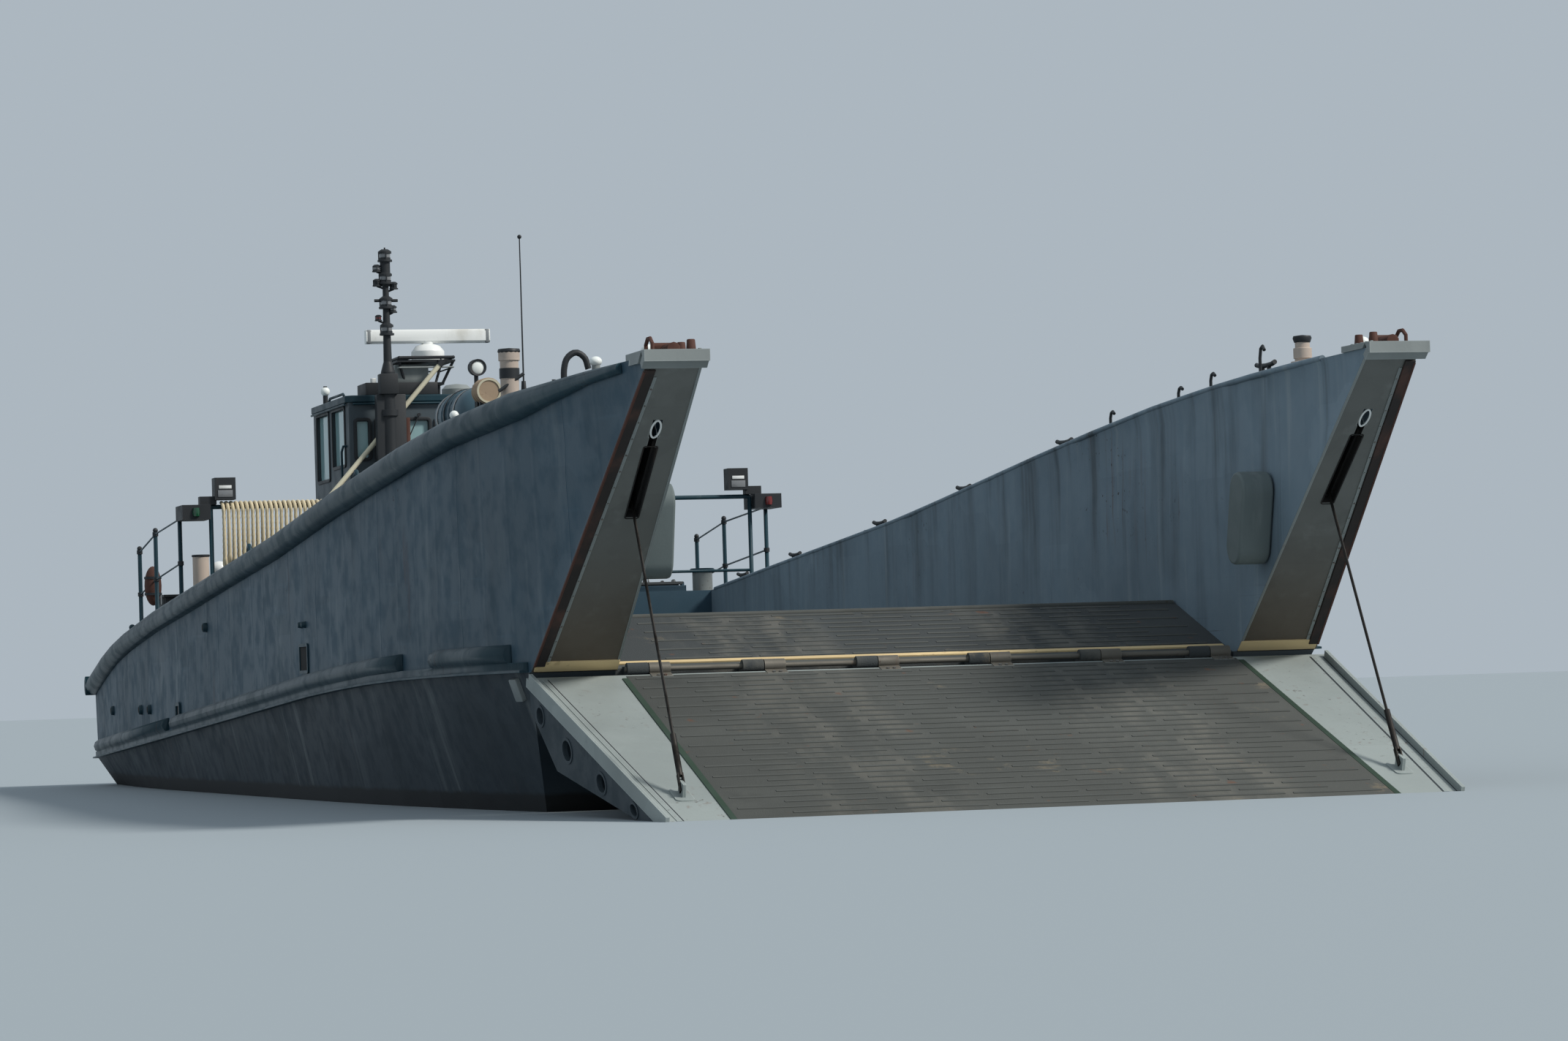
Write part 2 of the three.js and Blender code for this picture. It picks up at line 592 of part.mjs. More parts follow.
function rampStructure() {
  const toe = RAMP_LENGTH;
  const plate = profileZ([
    [RAMP_ROOT_X, -rampHalfWidth(RAMP_ROOT_X)], [toe, -rampHalfWidth(toe)],
    [toe, rampHalfWidth(toe)], [RAMP_ROOT_X, rampHalfWidth(RAMP_ROOT_X)],
  ], RAMP_TOP_Z - RAMP_PLATE, RAMP_TOP_Z);
  const depth = [[90, -75], [160, -225], [770, -430], [toe - 20, -105], [toe, -75]];
  const holes = [[365, -185, 75, 55], [965, -225, 95, 65], [1690, -200, 90, 55], [2350, -150, 70, 34]];
  const taper = Math.atan(FACE_TAPER);
  const parts = [plate];
  for (const side of [-1, 1]) {
    const holesInWeb = holes.map((hole) => oval(...hole));
    parts.push(profileY(depth, -11, 11, holesInWeb).rotateZ(-side * taper)
      .translate(0, side * (rampHalfWidth(0) - 25), 0));
    const lip = profileZ([
      [110, side * rampHalfWidth(110)], [toe - 60, side * rampHalfWidth(toe - 60)],
      [toe - 60, side * (rampHalfWidth(toe - 60) - 24)], [110, side * (rampHalfWidth(110) - 24)],
    ], RAMP_TOP_Z - 30, RAMP_TOP_Z + 45);
    parts.push(lip);
    const y = side * PAD_EYE_Y;
    parts.push(cut(
      block(PAD_EYE_X - 60, PAD_EYE_X + 60, y - 10, y + 10, RAMP_TOP_Z - 20, PAD_EYE_HOLE_Z + 40),
      bar([PAD_EYE_X, y - 40, PAD_EYE_HOLE_Z], [PAD_EYE_X, y + 40, PAD_EYE_HOLE_Z], PAD_EYE_HOLE_RADIUS, 10),
    ));
  }
  for (const y of [-1700, -600, 600, 1700]) {
    parts.push(profileY(depth.map(([x, z]) => [x, z * 0.9]), y - 9, y + 9));
  }
  for (const [x, z] of [[420, -225], [1200, -270], [2000, -200], [2700, -130]]) {
    const half = rampHalfWidth(x) - 26;
    parts.push(block(x - 9, x + 9, -half, half, z, RAMP_TOP_Z - 30));
  }
  const toeZ = RAMP_TOP_Z - RAMP_TOE_RADIUS;
  parts.push(bar([toe, -rampHalfWidth(toe), toeZ], [toe, rampHalfWidth(toe), toeZ], RAMP_TOE_RADIUS, 12));
  for (const y of HINGE_PLACES) {
    parts.push(bar([0, y + 3, 0], [0, y + 3 + BARREL_LENGTH, 0], BARREL_RADIUS, BARREL_SIDES));
    parts.push(block(0, RAMP_ROOT_X + 60, y + 3, y + 3 + BARREL_LENGTH, -42, -14));
  }
  const bore = bar([0, -3000, 0], [0, 3000, 0], PIN_BORE_RADIUS, 16);
  return cut(join(...parts), bore);
}

// A wire with its turnbuckle and the jaw that is pinned through the pad-eye, in the ramp's frame
function hoistWire(side) {
  const y = side * PAD_EYE_Y;
  const { eye, along, inside } = wireEnds();
  const at = (distance) => {
    const point = eye.clone().addScaledVector(along, distance);
    return [point.x, y, point.y];
  };
  const cheeks = [-1, 1].map((cheek) => {
    const y0 = cheek > 0 ? 10.4 : -18.4;
    const plate = block(-26, 100, y0, y0 + 8, -20, 20);
    return plate.rotateY(-along.angle()).translate(eye.x, y, eye.y);
  });
  const pin = bar([eye.x, y - 18.4, eye.y], [eye.x, y + 18.4, eye.y], PAD_EYE_HOLE_RADIUS - 1.4, 10);
  const turnbuckle = bar(at(85), at(85 + TURNBUCKLE_LENGTH), TURNBUCKLE_RADIUS, 10);
  return join(bar(at(90), [inside.x, y, inside.y], WIRE_RADIUS, 8), turnbuckle, pin, ...cheeks);
}

// Leaves: x runs from the hinge axis across the panel, y along the axis, z away from the frame

function leafLugs(width) {
  return [-1, 1].flatMap((end) => {
    const y0 = end * width * 0.28;
    return [
      bar([0, y0, 0], [0, y0 + 60, 0], LEAF_BARREL_RADIUS, 12),
      block(-LEAF_BARREL_RADIUS, LEAF_BARREL_RADIUS - 2, y0, y0 + 60, -LEAF_SEAT - 20, 0),
    ];
  });
}

function leaf(length, width, openings = []) {
  const half = LEAF_THICKNESS / 2;
  const panel = block(LEAF_START, LEAF_START + length, -width / 2, width / 2, -half, half);
  const inset = 40;
  const gasket = cut(
    block(LEAF_START + inset, LEAF_START + length - 15, 15 - width / 2, width / 2 - 15, 0.4 - LEAF_SEAT, 0),
    block(LEAF_START + inset + 25, LEAF_START + length - 40, 40 - width / 2, width / 2 - 40, -60, -half),
  );
  const barrels = [-1, 1].flatMap((end) => {
    const y0 = end * width * 0.28 - 60.4;
    return [
      bar([0, y0, 0], [0, y0 + 60, 0], LEAF_BARREL_RADIUS, 12),
      block(0, LEAF_START + 60, y0, y0 + 60, -half + 2, half + 4),
    ];
  });
  return cut(join(panel, gasket, ...barrels), ...openings);
}

// Pilothouse

function doorMatrix() {
  const basis = new THREE.Matrix4().makeBasis(
    new THREE.Vector3(0, -1, 0), new THREE.Vector3(0, 0, 1), new THREE.Vector3(-1, 0, 0),
  );
  return basis.setPosition(HOUSE_AFT_X - LEAF_SEAT, DOOR_AXIS_Y, DOOR_MIDDLE_Z);
}

function houseWalls() {
  const bottom = deckZ(HOUSE_AFT_X) - 100;
  const half = HOUSE_HALF_WIDTH;
  const outer = block(HOUSE_AFT_X, HOUSE_FRONT_X, -half, half, bottom, HOUSE_TOP_Z - FIT);
  const inside = half - HOUSE_WALL;
  const aft = HOUSE_AFT_X + HOUSE_WALL;
  const front = HOUSE_FRONT_X - HOUSE_WALL;
  const inner = block(aft, front, -inside, inside, bottom - 100, HOUSE_TOP_Z + 100);
  const across = (middle, y0, y1) =>
    block(middle - 75, middle + 75, y0, y1, FRONT_PANE_BOTTOM_Z, FRONT_PANE_TOP_Z);
  const windows = SIDE_PANES.map(([x0, x1, sill]) =>
    block(x0, x1, -half - 50, half + 50, sill, SIDE_PANE_TOP_Z));
  windows.push(...FRONT_PANES.map(([y0, y1]) => across(HOUSE_FRONT_X, y0, y1)));
  windows.push(across(HOUSE_AFT_X, -900, -250));
  const doorway = block(
    HOUSE_AFT_X - 50, HOUSE_AFT_X + 100, DOOR_AXIS_Y - DOOR_WIDTH + 30, DOOR_AXIS_Y - 80,
    DOOR_MIDDLE_Z - DOOR_HEIGHT / 2 + 50, DOOR_MIDDLE_Z + DOOR_HEIGHT / 2 - 50,
  );
  const lugs = leafLugs(DOOR_HEIGHT).map((lug) => lug.applyMatrix4(doorMatrix()));
  return seat(join(cut(outer, inner, ...windows, doorway), ...lugs));
}

function houseRoof() {
  const over = ROOF_OVERHANG;
  const half = HOUSE_HALF_WIDTH + over;
  const corner = 60;
  const x0 = HOUSE_AFT_X - over;
  const x1 = HOUSE_FRONT_X + over;
  return profileZ([
    [x0 + corner, -half], [x1 - corner, -half], [x1, -half + corner], [x1, half - corner],
    [x1 - corner, half], [x0 + corner, half], [x0, half - corner], [x0, -half + corner],
  ], HOUSE_TOP_Z, HOUSE_TOP_Z + ROOF_THICKNESS);
}

function doorLeaf() {
  const window = block(220, 520, 380, 780, -100, 100);
  const handle = bar([DOOR_WIDTH - 90, -60, 0], [DOOR_WIDTH - 90, -60, 60], 12, 8);
  const grip = bar([DOOR_WIDTH - 90, -60, 55], [DOOR_WIDTH - 230, -60, 55], 12, 8);
  return join(leaf(DOOR_WIDTH, DOOR_HEIGHT, [window]), handle, grip);
}

function helmConsole() {
  const back = HOUSE_FRONT_X - HOUSE_WALL - FIT;
  const bottom = deckZ(back) - 200;
  return seat(profileY([
    [back, bottom], [back, 2760], [back - 180, 2760], [back - 420, 2620], [back - 420, 2480],
    [back - 300, 2400], [back - 300, bottom],
  ], -650, 650));
}

function steeringWheel() {
  const x = HOUSE_FRONT_X - HOUSE_WALL - 420 - FIT;
  const z = 2550;
  const radius = 210;
  const rimX = x - 110;
  const rim = new THREE.TorusGeometry(radius, 16, 6, 18).rotateY(Math.PI / 2).translate(rimX, 0, z);
  const hub = bar([x - 0.6, 0, z], [rimX - 15, 0, z], 30, 12);
  const spokes = [0, 1, 2].map((i) => {
    const angle = (i / 3) * Math.PI * 2;
    return bar([rimX, 0, z], [rimX, radius * Math.sin(angle), z + radius * Math.cos(angle)], 9, 8);
  });
  return join(rim, hub, ...spokes);
}

function helmSeat() {
  const x = -7550;
  const post = bar([x, 0, deckZ(x) - 80], [x, 0, 2280], 45, 12);
  const cushion = block(x - 230, x + 230, -230, 230, 2270, 2370);
  const back = block(x - 230, x - 160, -210, 210, 2420, 2850);
  const arm = block(x - 225, x - 195, -60, 60, 2360, 2450);
  const foot = bar([x, 0, deckZ(x) - 80], [x, 0, deckZ(x) + 50], 190, 16, 170);
  return seat(join(post, cushion, back, arm, foot));
}

// Mast, radar, stay and whip

function mast() {
  const base = deckZ(MAST_X) - 60;
  const parts = [
    bar([MAST_X, MAST_Y, base], [MAST_X, MAST_Y, MAST_TOP_Z], MAST_RADIUS, 12, 26),
    bar([MAST_X, MAST_Y, base], [MAST_X, MAST_Y, base + 100], 95, 12),
    bar([MAST_X, MAST_Y - YARD_HALF, YARD_Z], [MAST_X, MAST_Y + YARD_HALF, YARD_Z], 15, 8),
  ];
  for (const z of [2850, 3600]) {
    parts.push(block(HOUSE_FRONT_X + FIT, MAST_X, MAST_Y - 30, MAST_Y + 30, z - 20, z + 20));
  }
  for (const z of MAST_LAMPS) {
    parts.push(bar([MAST_X, MAST_Y, z - 20], [MAST_X, MAST_Y, z + 100], 60, 12, 54));
    parts.push(bar([MAST_X, MAST_Y, z - 36], [MAST_X, MAST_Y, z - 12], 78, 12));
  }
  return seat(join(...parts));
}

// Point at a distance down the stay from its top
function stayPoint(distance) {
  const top = new THREE.Vector3(...STAY_TOP);
  const foot = new THREE.Vector3(...STAY_FOOT);
  return top.add(foot.sub(top).setLength(distance)).toArray();
}

function radarPlatform() {
  const roofZ = HOUSE_TOP_Z + ROOF_THICKNESS + FIT;
  const x0 = RADAR_X - 200;
  const x1 = -6400;
  const y0 = -610;
  const y1 = -30;
  const middleX = (x0 + x1) / 2;
  const middleY = (y0 + y1) / 2;
  const parts = [block(x0, x1, y0, y1, PLATFORM_Z - 20, PLATFORM_Z)];
  const base = 200;
  const baseZ = PLATFORM_Z - 240;
  parts.push(block(middleX - base, middleX + base, middleY - base, middleY + base, baseZ, baseZ + 25));
  for (const [sx, sy] of [[-1, -1], [-1, 1], [1, 1], [1, -1]]) {
    const top = [sx < 0 ? x0 + 15 : x1 - 15, sy < 0 ? y0 + 15 : y1 - 15, PLATFORM_Z - 10];
    parts.push(bar(top, [middleX + sx * 185, middleY + sy * 185, baseZ + 12], 14, 8));
    const footX = middleX + sx * 150;
    const footY = middleY + sy * 150;
    parts.push(bar([footX, footY, roofZ], [footX, footY, baseZ + 20], 20, 8));
  }
  const [stayX, stayY, stayZ] = STAY_TOP;
  parts.push(block(x1 - 12, stayX + 10, stayY - 8, stayY + 8, stayZ + 20, PLATFORM_Z - 5));
  return join(...parts, bar(stayPoint(-60), STAY_TOP, STAY_EYE_RADIUS, 8));
}

function radarGearbox() {
  const z = PLATFORM_Z + FIT;
  const body = turned([
    [0, z], [150, z], [165, z + 30], [165, z + 110], [120, z + 165], [60, z + 185], [0, z + 185],
  ], 16);
  return body.scale(1.1, 1, 1).translate(RADAR_X, RADAR_Y, 0);
}

function radarScanner() {
  const z0 = PLATFORM_Z + 195;
  const half = SCANNER_LENGTH / 2;
  const top = SCANNER_HEIGHT;
  const outline = profileY([
    [-48, 14], [-40, 0], [40, 0], [56, 20], [56, top - 20], [44, top], [-40, top], [-48, top - 14],
  ], -half, half);
  const hub = bar([0, 0, -9], [0, 0, 10], 60, 16);
  return join(outline, hub).translate(RADAR_X, RADAR_Y, z0);
}

function mastStay() {
  return seat(bar(stayPoint(FIT), STAY_FOOT, 24, 10));
}

function whipAntenna() {
  const x = -7050;
  const y = 800;
  const z = HOUSE_TOP_Z + ROOF_THICKNESS + FIT;
  const top = 5400;
  return join(
    bar([x, y, z], [x, y, z + 160], 32, 10, 22), bar([x, y, z], [x, y, z + 16], 60, 12),
    bar([x, y, z + 150], [x, y, top], 9, 8, 6), ball(x, y, top, 22),
  );
}

// Wing and deck gear

const RAFT = { x: 5750, y: -2530, lift: 222, radius: 180, half: 500, strap: 10 };

function raftCanister() {
  const { half, radius: r, strap } = RAFT;
  const shell = turned([
    [0, -half], [r * 0.63, -half + 14], [r * 0.9, -half + 60], [r, -half + 120], [r, -strap],
    [r + strap, -strap], [r + strap, strap], [r, strap],
    [r, half - 120], [r * 0.9, half - 60], [r * 0.63, half - 14], [0, half],
  ], 20);
  return shell.rotateY(Math.PI / 2).translate(RAFT.x, RAFT.y, deckZ(RAFT.x) + RAFT.lift);
}

function raftCradle() {
  const middle = deckZ(RAFT.x) + RAFT.lift;
  const aft = RAFT.x - 330;
  const fore = RAFT.x + 330;
  const parts = [aft + 40, fore - 40].map((x) =>
    block(x - 20, x + 20, RAFT.y - 180, RAFT.y + 180, deckZ(aft) - 150, middle - 80));
  for (const y of [RAFT.y - 165, RAFT.y + 165]) {
    parts.push(block(aft, fore, y - 18, y + 18, deckZ(aft) - 80, deckZ(fore) + 40));
  }
  const hollow = bar([aft - 200, RAFT.y, middle], [fore + 200, RAFT.y, middle], RAFT.radius + FIT, 20);
  return seat(cut(join(...parts), hollow));
}

function storesDrum() {
  const x = 6800;
  const y = -2630;
  const z = deckZ(x);
  const half = 90;
  const axis = z + 245;
  return seat(join(
    bar([x - half, y, axis], [x + half, y, axis], half, 18),
    block(x - 60, x - 36, y - 62, y + 62, z - 100, axis - 50),
    block(x + 36, x + 60, y - 62, y + 62, z - 100, axis - 50),
  ));
}

function ventPost(x, y, height, radius) {
  const z = deckZ(x);
  return seat(join(
    bar([x, y, z - 100], [x, y, z + height - 60], radius, 14),
    bar([x, y, z + height - 70], [x, y, z + height], radius * 1.15, 14),
    bar([x, y, z - 100], [x, y, z + 30], radius * 1.5, 14),
  ));
}

// Vent pipe whose arch stands across the craft, from its foot at y to its mouth further inboard
function gooseneck(x, y) {
  const z = deckZ(x);
  const arch = bentTube([
    [x, y, z - 60], [x, y, z + 110], [x, y + 24, z + 180], [x, y + 82, z + 215], [x, y + 140, z + 180],
    [x, y + 164, z + 105],
  ], 22, 20);
  return seat(join(arch, bar([x, y, z - 100], [x, y, z + 25], 48, 12)));
}

function floodlight(x, y) {
  const z = deckZ(x);
  const lampZ = z + 465;
  return seat(join(
    bar([x, y, z - 60], [x, y, lampZ - 30], 16, 8), bar([x, y, z - 60], [x, y, z + 20], 50, 10),
    ball(x, y, lampZ, 60), bar([x, y, lampZ], [x + 66, y, lampZ], 52, 14, 58),
  ));
}

// Stanchions as [x, top height], with two wires between them
const STANCHIONS = [[-8400, 2400], [-7300, 2540], [-5720, 2620]];

function lifeline(side) {
  const y = side * 2900;
  const parts = [];
  for (const [x, top] of STANCHIONS) {
    parts.push(bar([x, y, deckZ(x) - 60], [x, y, top], TUBE_RADIUS, 8));
    parts.push(bar([x, y, deckZ(x) - 60], [x, y, deckZ(x) + 22], 60, 10));
  }
  for (let i = 0; i < STANCHIONS.length - 1; i++) {
    const [x0, top0] = STANCHIONS[i];
    const [x1, top1] = STANCHIONS[i + 1];
    for (const share of [0.48, 0.96]) {
      const z0 = THREE.MathUtils.lerp(deckZ(x0), top0, share);
      const z1 = THREE.MathUtils.lerp(deckZ(x1), top1, share);
      parts.push(bar([x0, y, z0], [x1, y, z1], 9, 6));
    }
  }
  return seat(join(...parts));
}

function wellGuardRail() {
  const x = GUARD_RAIL_X;
  const reach = GUARD_RAIL_HALF_SPAN;
  const parts = [bar([x, -reach, GUARD_RAIL_Z], [x, reach, GUARD_RAIL_Z], TUBE_RADIUS, 10)];
  parts.push(bar([x, -reach, 1960], [x, reach, 1960], 14, 8));
  for (const y of [-reach, -1150, 0, 1150, reach]) {
    parts.push(bar([x, y, deckZ(x) - 60], [x, y, GUARD_RAIL_Z], TUBE_RADIUS, 10));
    parts.push(bar([x, y, deckZ(x) - 60], [x, y, deckZ(x) + 22], 60, 10));
  }
  return seat(join(...parts));
}

// Light box outboard of the end post, and its lamp, which a bracket over the rail carries inboard
function sidelight(side) {
  const x = GUARD_RAIL_X;
  const post = GUARD_RAIL_HALF_SPAN;
  const across = (x0, x1, y0, y1, z0, z1) =>
    (side > 0 ? block(x0, x1, y0, y1, z0, z1) : block(x0, x1, -y1, -y0, z0, z1));
  const overRail = GUARD_RAIL_Z + TUBE_RADIUS + 0.5;
  return join(
    across(x - 290, x + 130, post + 22, post + 290, 2560, 2700),
    across(x - 85, x + 85, post - 230, post - 30, 2745, 2955),
    across(x - 50, x + 50, post + 25, post + 110, 2690, 2780),
    across(x - 50, x + 50, post - 50, post + 30, overRail, 2780),
  );
}

// The hank hangs over the top tube of the rail, so its solid is an upturned channel
function ropeHank() {
  const half = ROPE_DIAMETER / 2;
  const outer = ROPE_BEND + half;
  const inner = ROPE_BEND - half;
  const crown = GUARD_RAIL_Z + TUBE_RADIUS + FIT - inner;
  const outline = new THREE.Shape();
  outline.moveTo(outer, crown - ROPE_DROP);
  outline.absarc(0, crown, outer, 0, Math.PI, false);
  outline.lineTo(-outer, crown - ROPE_DROP);
  outline.lineTo(-inner, crown - ROPE_DROP);
  outline.absarc(0, crown, inner, Math.PI, 0, true);
  outline.lineTo(inner, crown - ROPE_DROP);
  const depth = ROPE_TURNS * ROPE_PITCH;
  const drawn = new THREE.ExtrudeGeometry(outline, { depth, bevelEnabled: false, curveSegments: 8 });
  return drawn.rotateX(Math.PI / 2).translate(GUARD_RAIL_X, ROPE_START_Y + depth, 0);
}

function sternBitts(side) {
  const x = -10300;
  const y = side * 2250;
  const z = deckZ(x);
  return seat(join(
    block(x - 350, x + 350, y - 130, y + 130, z - 120, z + 45),
    ...[-210, 210].flatMap((dx) => [
      bar([x + dx, y, z - 60], [x + dx, y, z + 330], 72, 14),
      bar([x + dx, y, z + 320], [x + dx, y, z + 350], 92, 14),
    ]),
    bar([x - 330, y, z + 220], [x + 330, y, z + 220], 24, 8),
  ));
}

function deckLocker() {
  const x = -8750;
  return seat(join(
    block(x - 260, x + 260, -2640, -2280, deckZ(x) - 100, deckZ(x) + 430),
    block(x - 280, x + 280, -2660, -2260, deckZ(x) + 425, deckZ(x) + 455),
  ));
}

function exhaust(side) {
  const y = side * 1900;
  const z = 800;
  return cut(
    join(
      bar([TRANSOM_X - FIT, y, z], [TRANSOM_X - 95, y, z], 95, 18),
      bar([TRANSOM_X - FIT, y, z], [TRANSOM_X - 14, y, z], 150, 18),
    ),
    bar([TRANSOM_X - 30, y, z], [TRANSOM_X - 200, y, z], 82, 18),
  );
}

// Running gear, drawn about the propeller hub with x along the shaft

function propeller(handed) {
  const blades = [0, 1, 2, 3].map((i) => {
    const blade = new THREE.Shape();
    blade.moveTo(-30, 60);
    blade.bezierCurveTo(-190, 160, -200, 360, -20, PROPELLER_RADIUS);
    blade.bezierCurveTo(170, 370, 150, 150, 60, 60);
    const drawn = new THREE.ExtrudeGeometry(blade, { depth: 16, bevelEnabled: false, curveSegments: 7 });
    return drawn.translate(0, 0, -8).rotateY(handed * BLADE_PITCH)
      .rotateY(Math.PI / 2).rotateX((i / 4) * Math.PI * 2);
  });
  const hub = bar([-120, 0, 0], [130, 0, 0], 68, 16, 80);
  const cone = bar([-230, 0, 0], [-118, 0, 0], 16, 16, 66);
  const shaftLength = (-8130 - PROPELLER_X) / Math.cos(SHAFT_TILT);
  const shaft = bar([120, 0, 0], [shaftLength, 0, 0], SHAFT_RADIUS, SHAFT_SIDES);
  return join(hub, cone, shaft, ...blades);
}

function shaftBracket(side) {
  const x = PROPELLER_X + 380;
  const y = side * SHAFT_Y;
  const z = shaftPoint(x);
  const dx = 110 * Math.cos(SHAFT_TILT);
  const dz = 110 * Math.sin(SHAFT_TILT);
  const sleeve = bar([x - dx, y, z - dz], [x + dx, y, z + dz], 72, 16);
  const arms = [-1, 1].map((lean) => bar([x, y + lean * 20, z], [x + 40, y + lean * 300, 0], 26, 8));
  const reach = 3;
  const from = [x - reach * dx, y, z - reach * dz];
  const bore = bar(from, [x + reach * dx, y, z + reach * dz], SHAFT_RADIUS + BORE_GAP, SHAFT_SIDES);
  return cut(join(sleeve, ...arms), bore, bottomCutter);
}

function rudder(side) {
  const blade = profileZ([
    [-520, 0], [-300, 26], [0, 44], [120, 36], [190, 0], [120, -36], [0, -44], [-300, -26],
  ], -1190, -380);
  const stock = bar([0, 0, -420], [0, 0, 60], RUDDER_STOCK_RADIUS, SHAFT_SIDES);
  return join(blade, stock);
}

// Assembly

const craft = new THREE.Group();

function add(name, geometry, paint, parent = craft) {
  const mesh = new THREE.Mesh(geometryOf(solid(geometry)), new THREE.MeshStandardMaterial(paints[paint]));
  mesh.name = name;
  parent.add(mesh);
  return mesh;
}

const SIDES = [['starboard', -1], ['port', 1]];

add('lower_hull', lowerHull(), 'bottom');
add('after_body', afterBody(), 'hull');
add('well_deck', wellDeck(), 'deck');
add('stern_rail', sternRail(), 'rail');
for (const [name, side] of SIDES) {
  add(`wing_${name}`, wing(side), 'hull');
  add(`sheer_rail_${name}`, sheerRail(side), 'rail');
  add(`knuckle_rail_${name}`, knuckleRail(side), 'rail');
  add(`bow_seal_${name}`, bowSeal(side), 'rubber');
  add(`bow_cap_${name}`, bowCap(side), 'light');
  add(`sheave_housing_${name}`, sheaveHousing(side), 'light');
  add(`lifeline_${name}`, lifeline(side), 'rail');
  add(`sidelight_${name}`, sidelight(side), 'dark');
  add(`stern_bitts_${name}`, sternBitts(side), 'dark');
  add(`exhaust_${name}`, exhaust(side), 'dark');
  add(`shaft_bracket_${name}`, shaftBracket(side), 'bottom');
}

const rampGroup = new THREE.Group();
rampGroup.position.set(HINGE_X, 0, HINGE_Z);
rampGroup.rotation.y = RAMP_LOWERED;
craft.add(rampGroup);
add('ramp', rampStructure(), 'ramp', rampGroup);
for (const [name, side] of SIDES) {
  add(`hoist_wire_${name}`, hoistWire(side), 'dark', rampGroup);
}
add('ramp_hinge_pin', bar([HINGE_X, -2160, HINGE_Z], [HINGE_X, 2160, HINGE_Z], PIN_RADIUS, 16), 'steel');

add('pilothouse_walls', houseWalls(), 'hull');
add('pilothouse_roof', houseRoof(), 'rail');
add('helm_console', helmConsole(), 'dark');
add('steering_wheel', steeringWheel(), 'dark');
add('helm_seat', helmSeat(), 'dark');
const door = add('pilothouse_door', doorLeaf(), 'hull');
door.applyMatrix4(doorMatrix());
for (const hatch of HATCHES) {
  const lid = add(hatch[0], leaf(HATCH_SIZE, HATCH_SIZE), 'deck');
  lid.applyMatrix4(hatchPlace(hatch));
}

add('mast', mast(), 'dark');
add('radar_platform', radarPlatform(), 'dark');
add('radar_gearbox', radarGearbox(), 'white');
add('radar_scanner', radarScanner(), 'white');
add('mast_stay', mastStay(), 'cream');
add('whip_antenna', whipAntenna(), 'dark');

add('raft_canister', raftCanister(), 'canister');
add('raft_cradle', raftCradle(), 'dark');
add('stores_drum', storesDrum(), 'tan');
add('vent_post_starboard', ventPost(7510, -2620, 430, 66), 'rail');
add('vent_post_port', ventPost(9850, 2310, 120, 54), 'rail');
add('gooseneck_starboard', gooseneck(9150, -2620), 'dark');
add('floodlight_starboard', floodlight(6430, -2620), 'light');
add('well_guard_rail', wellGuardRail(), 'rail');
add('rope_hank', ropeHank(), 'rope');
add('deck_locker', deckLocker(), 'dark');

for (const [name, side] of SIDES) {
  const line = new THREE.Group();
  line.position.set(PROPELLER_X, side * SHAFT_Y, PROPELLER_Z);
  line.rotation.y = -SHAFT_TILT;
  craft.add(line);
  add(`propeller_${name}`, propeller(side), 'bronze', line);
  const blade = add(`rudder_${name}`, rudder(side), 'bottom');
  blade.position.set(RUDDER_X, side * SHAFT_Y, 0);
}

export default craft;
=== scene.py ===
# Finishes and fittings of the mechanised landing craft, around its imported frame.
# Metres. X runs forward to the bow, Y to port, Z up, and the waterline is at zero.
import json
import math
import random

import bmesh
import bpy
from mathutils import Matrix, Vector, noise
from mathutils.bvhtree import BVHTree


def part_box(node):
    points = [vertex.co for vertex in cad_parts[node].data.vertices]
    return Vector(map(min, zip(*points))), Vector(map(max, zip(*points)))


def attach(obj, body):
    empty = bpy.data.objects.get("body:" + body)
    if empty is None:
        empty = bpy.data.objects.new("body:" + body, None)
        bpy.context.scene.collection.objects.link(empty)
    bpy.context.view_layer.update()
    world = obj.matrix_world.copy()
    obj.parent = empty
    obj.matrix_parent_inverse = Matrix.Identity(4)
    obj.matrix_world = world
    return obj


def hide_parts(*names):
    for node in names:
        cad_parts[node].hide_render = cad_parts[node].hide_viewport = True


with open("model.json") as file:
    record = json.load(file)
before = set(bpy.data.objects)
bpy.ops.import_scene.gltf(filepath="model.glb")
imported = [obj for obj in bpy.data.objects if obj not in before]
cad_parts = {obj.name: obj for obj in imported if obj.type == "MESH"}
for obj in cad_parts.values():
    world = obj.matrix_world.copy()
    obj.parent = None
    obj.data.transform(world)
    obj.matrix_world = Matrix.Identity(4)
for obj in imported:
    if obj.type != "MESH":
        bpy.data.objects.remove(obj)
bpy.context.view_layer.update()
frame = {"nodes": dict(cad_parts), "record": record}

# Places that the source of the craft also names
HINGE = Vector((8.7, 0.0, 0.95))
FACE_TOP = Vector((11.22, 0.0, 2.87))
RAMP_ANGLE = math.radians(18.5)
FACE_ANGLE = math.atan2(FACE_TOP.z - HINGE.z, FACE_TOP.x - HINGE.x)
FACE_LENGTH = (FACE_TOP - HINGE).length
FACE_FOOT_HALF = 2.8
FACE_TAPER = (2.8 - 2.57) / FACE_LENGTH
WELL_AFT = -5.3
WELL_HALF = 2.21
WELL_FLOOR = 0.7
CREST = Vector((7.5, 0.0, 1.32))
APRON_FOOT = 6.45
RAMP_LENGTH = 3.04
RAMP_TOP = -0.02
PAD_EYE_X = 2.47
PAD_EYE_Y = 2.4
SLOT_MIDDLE = 1.945
TRANSOM = -11.1
HOUSE_AFT = -8.35
HOUSE_FRONT = -6.45
HOUSE_HALF = 1.1
HOUSE_WALL = 0.06
HOUSE_TOP = 3.72
ROOF_TOP = HOUSE_TOP + 0.07
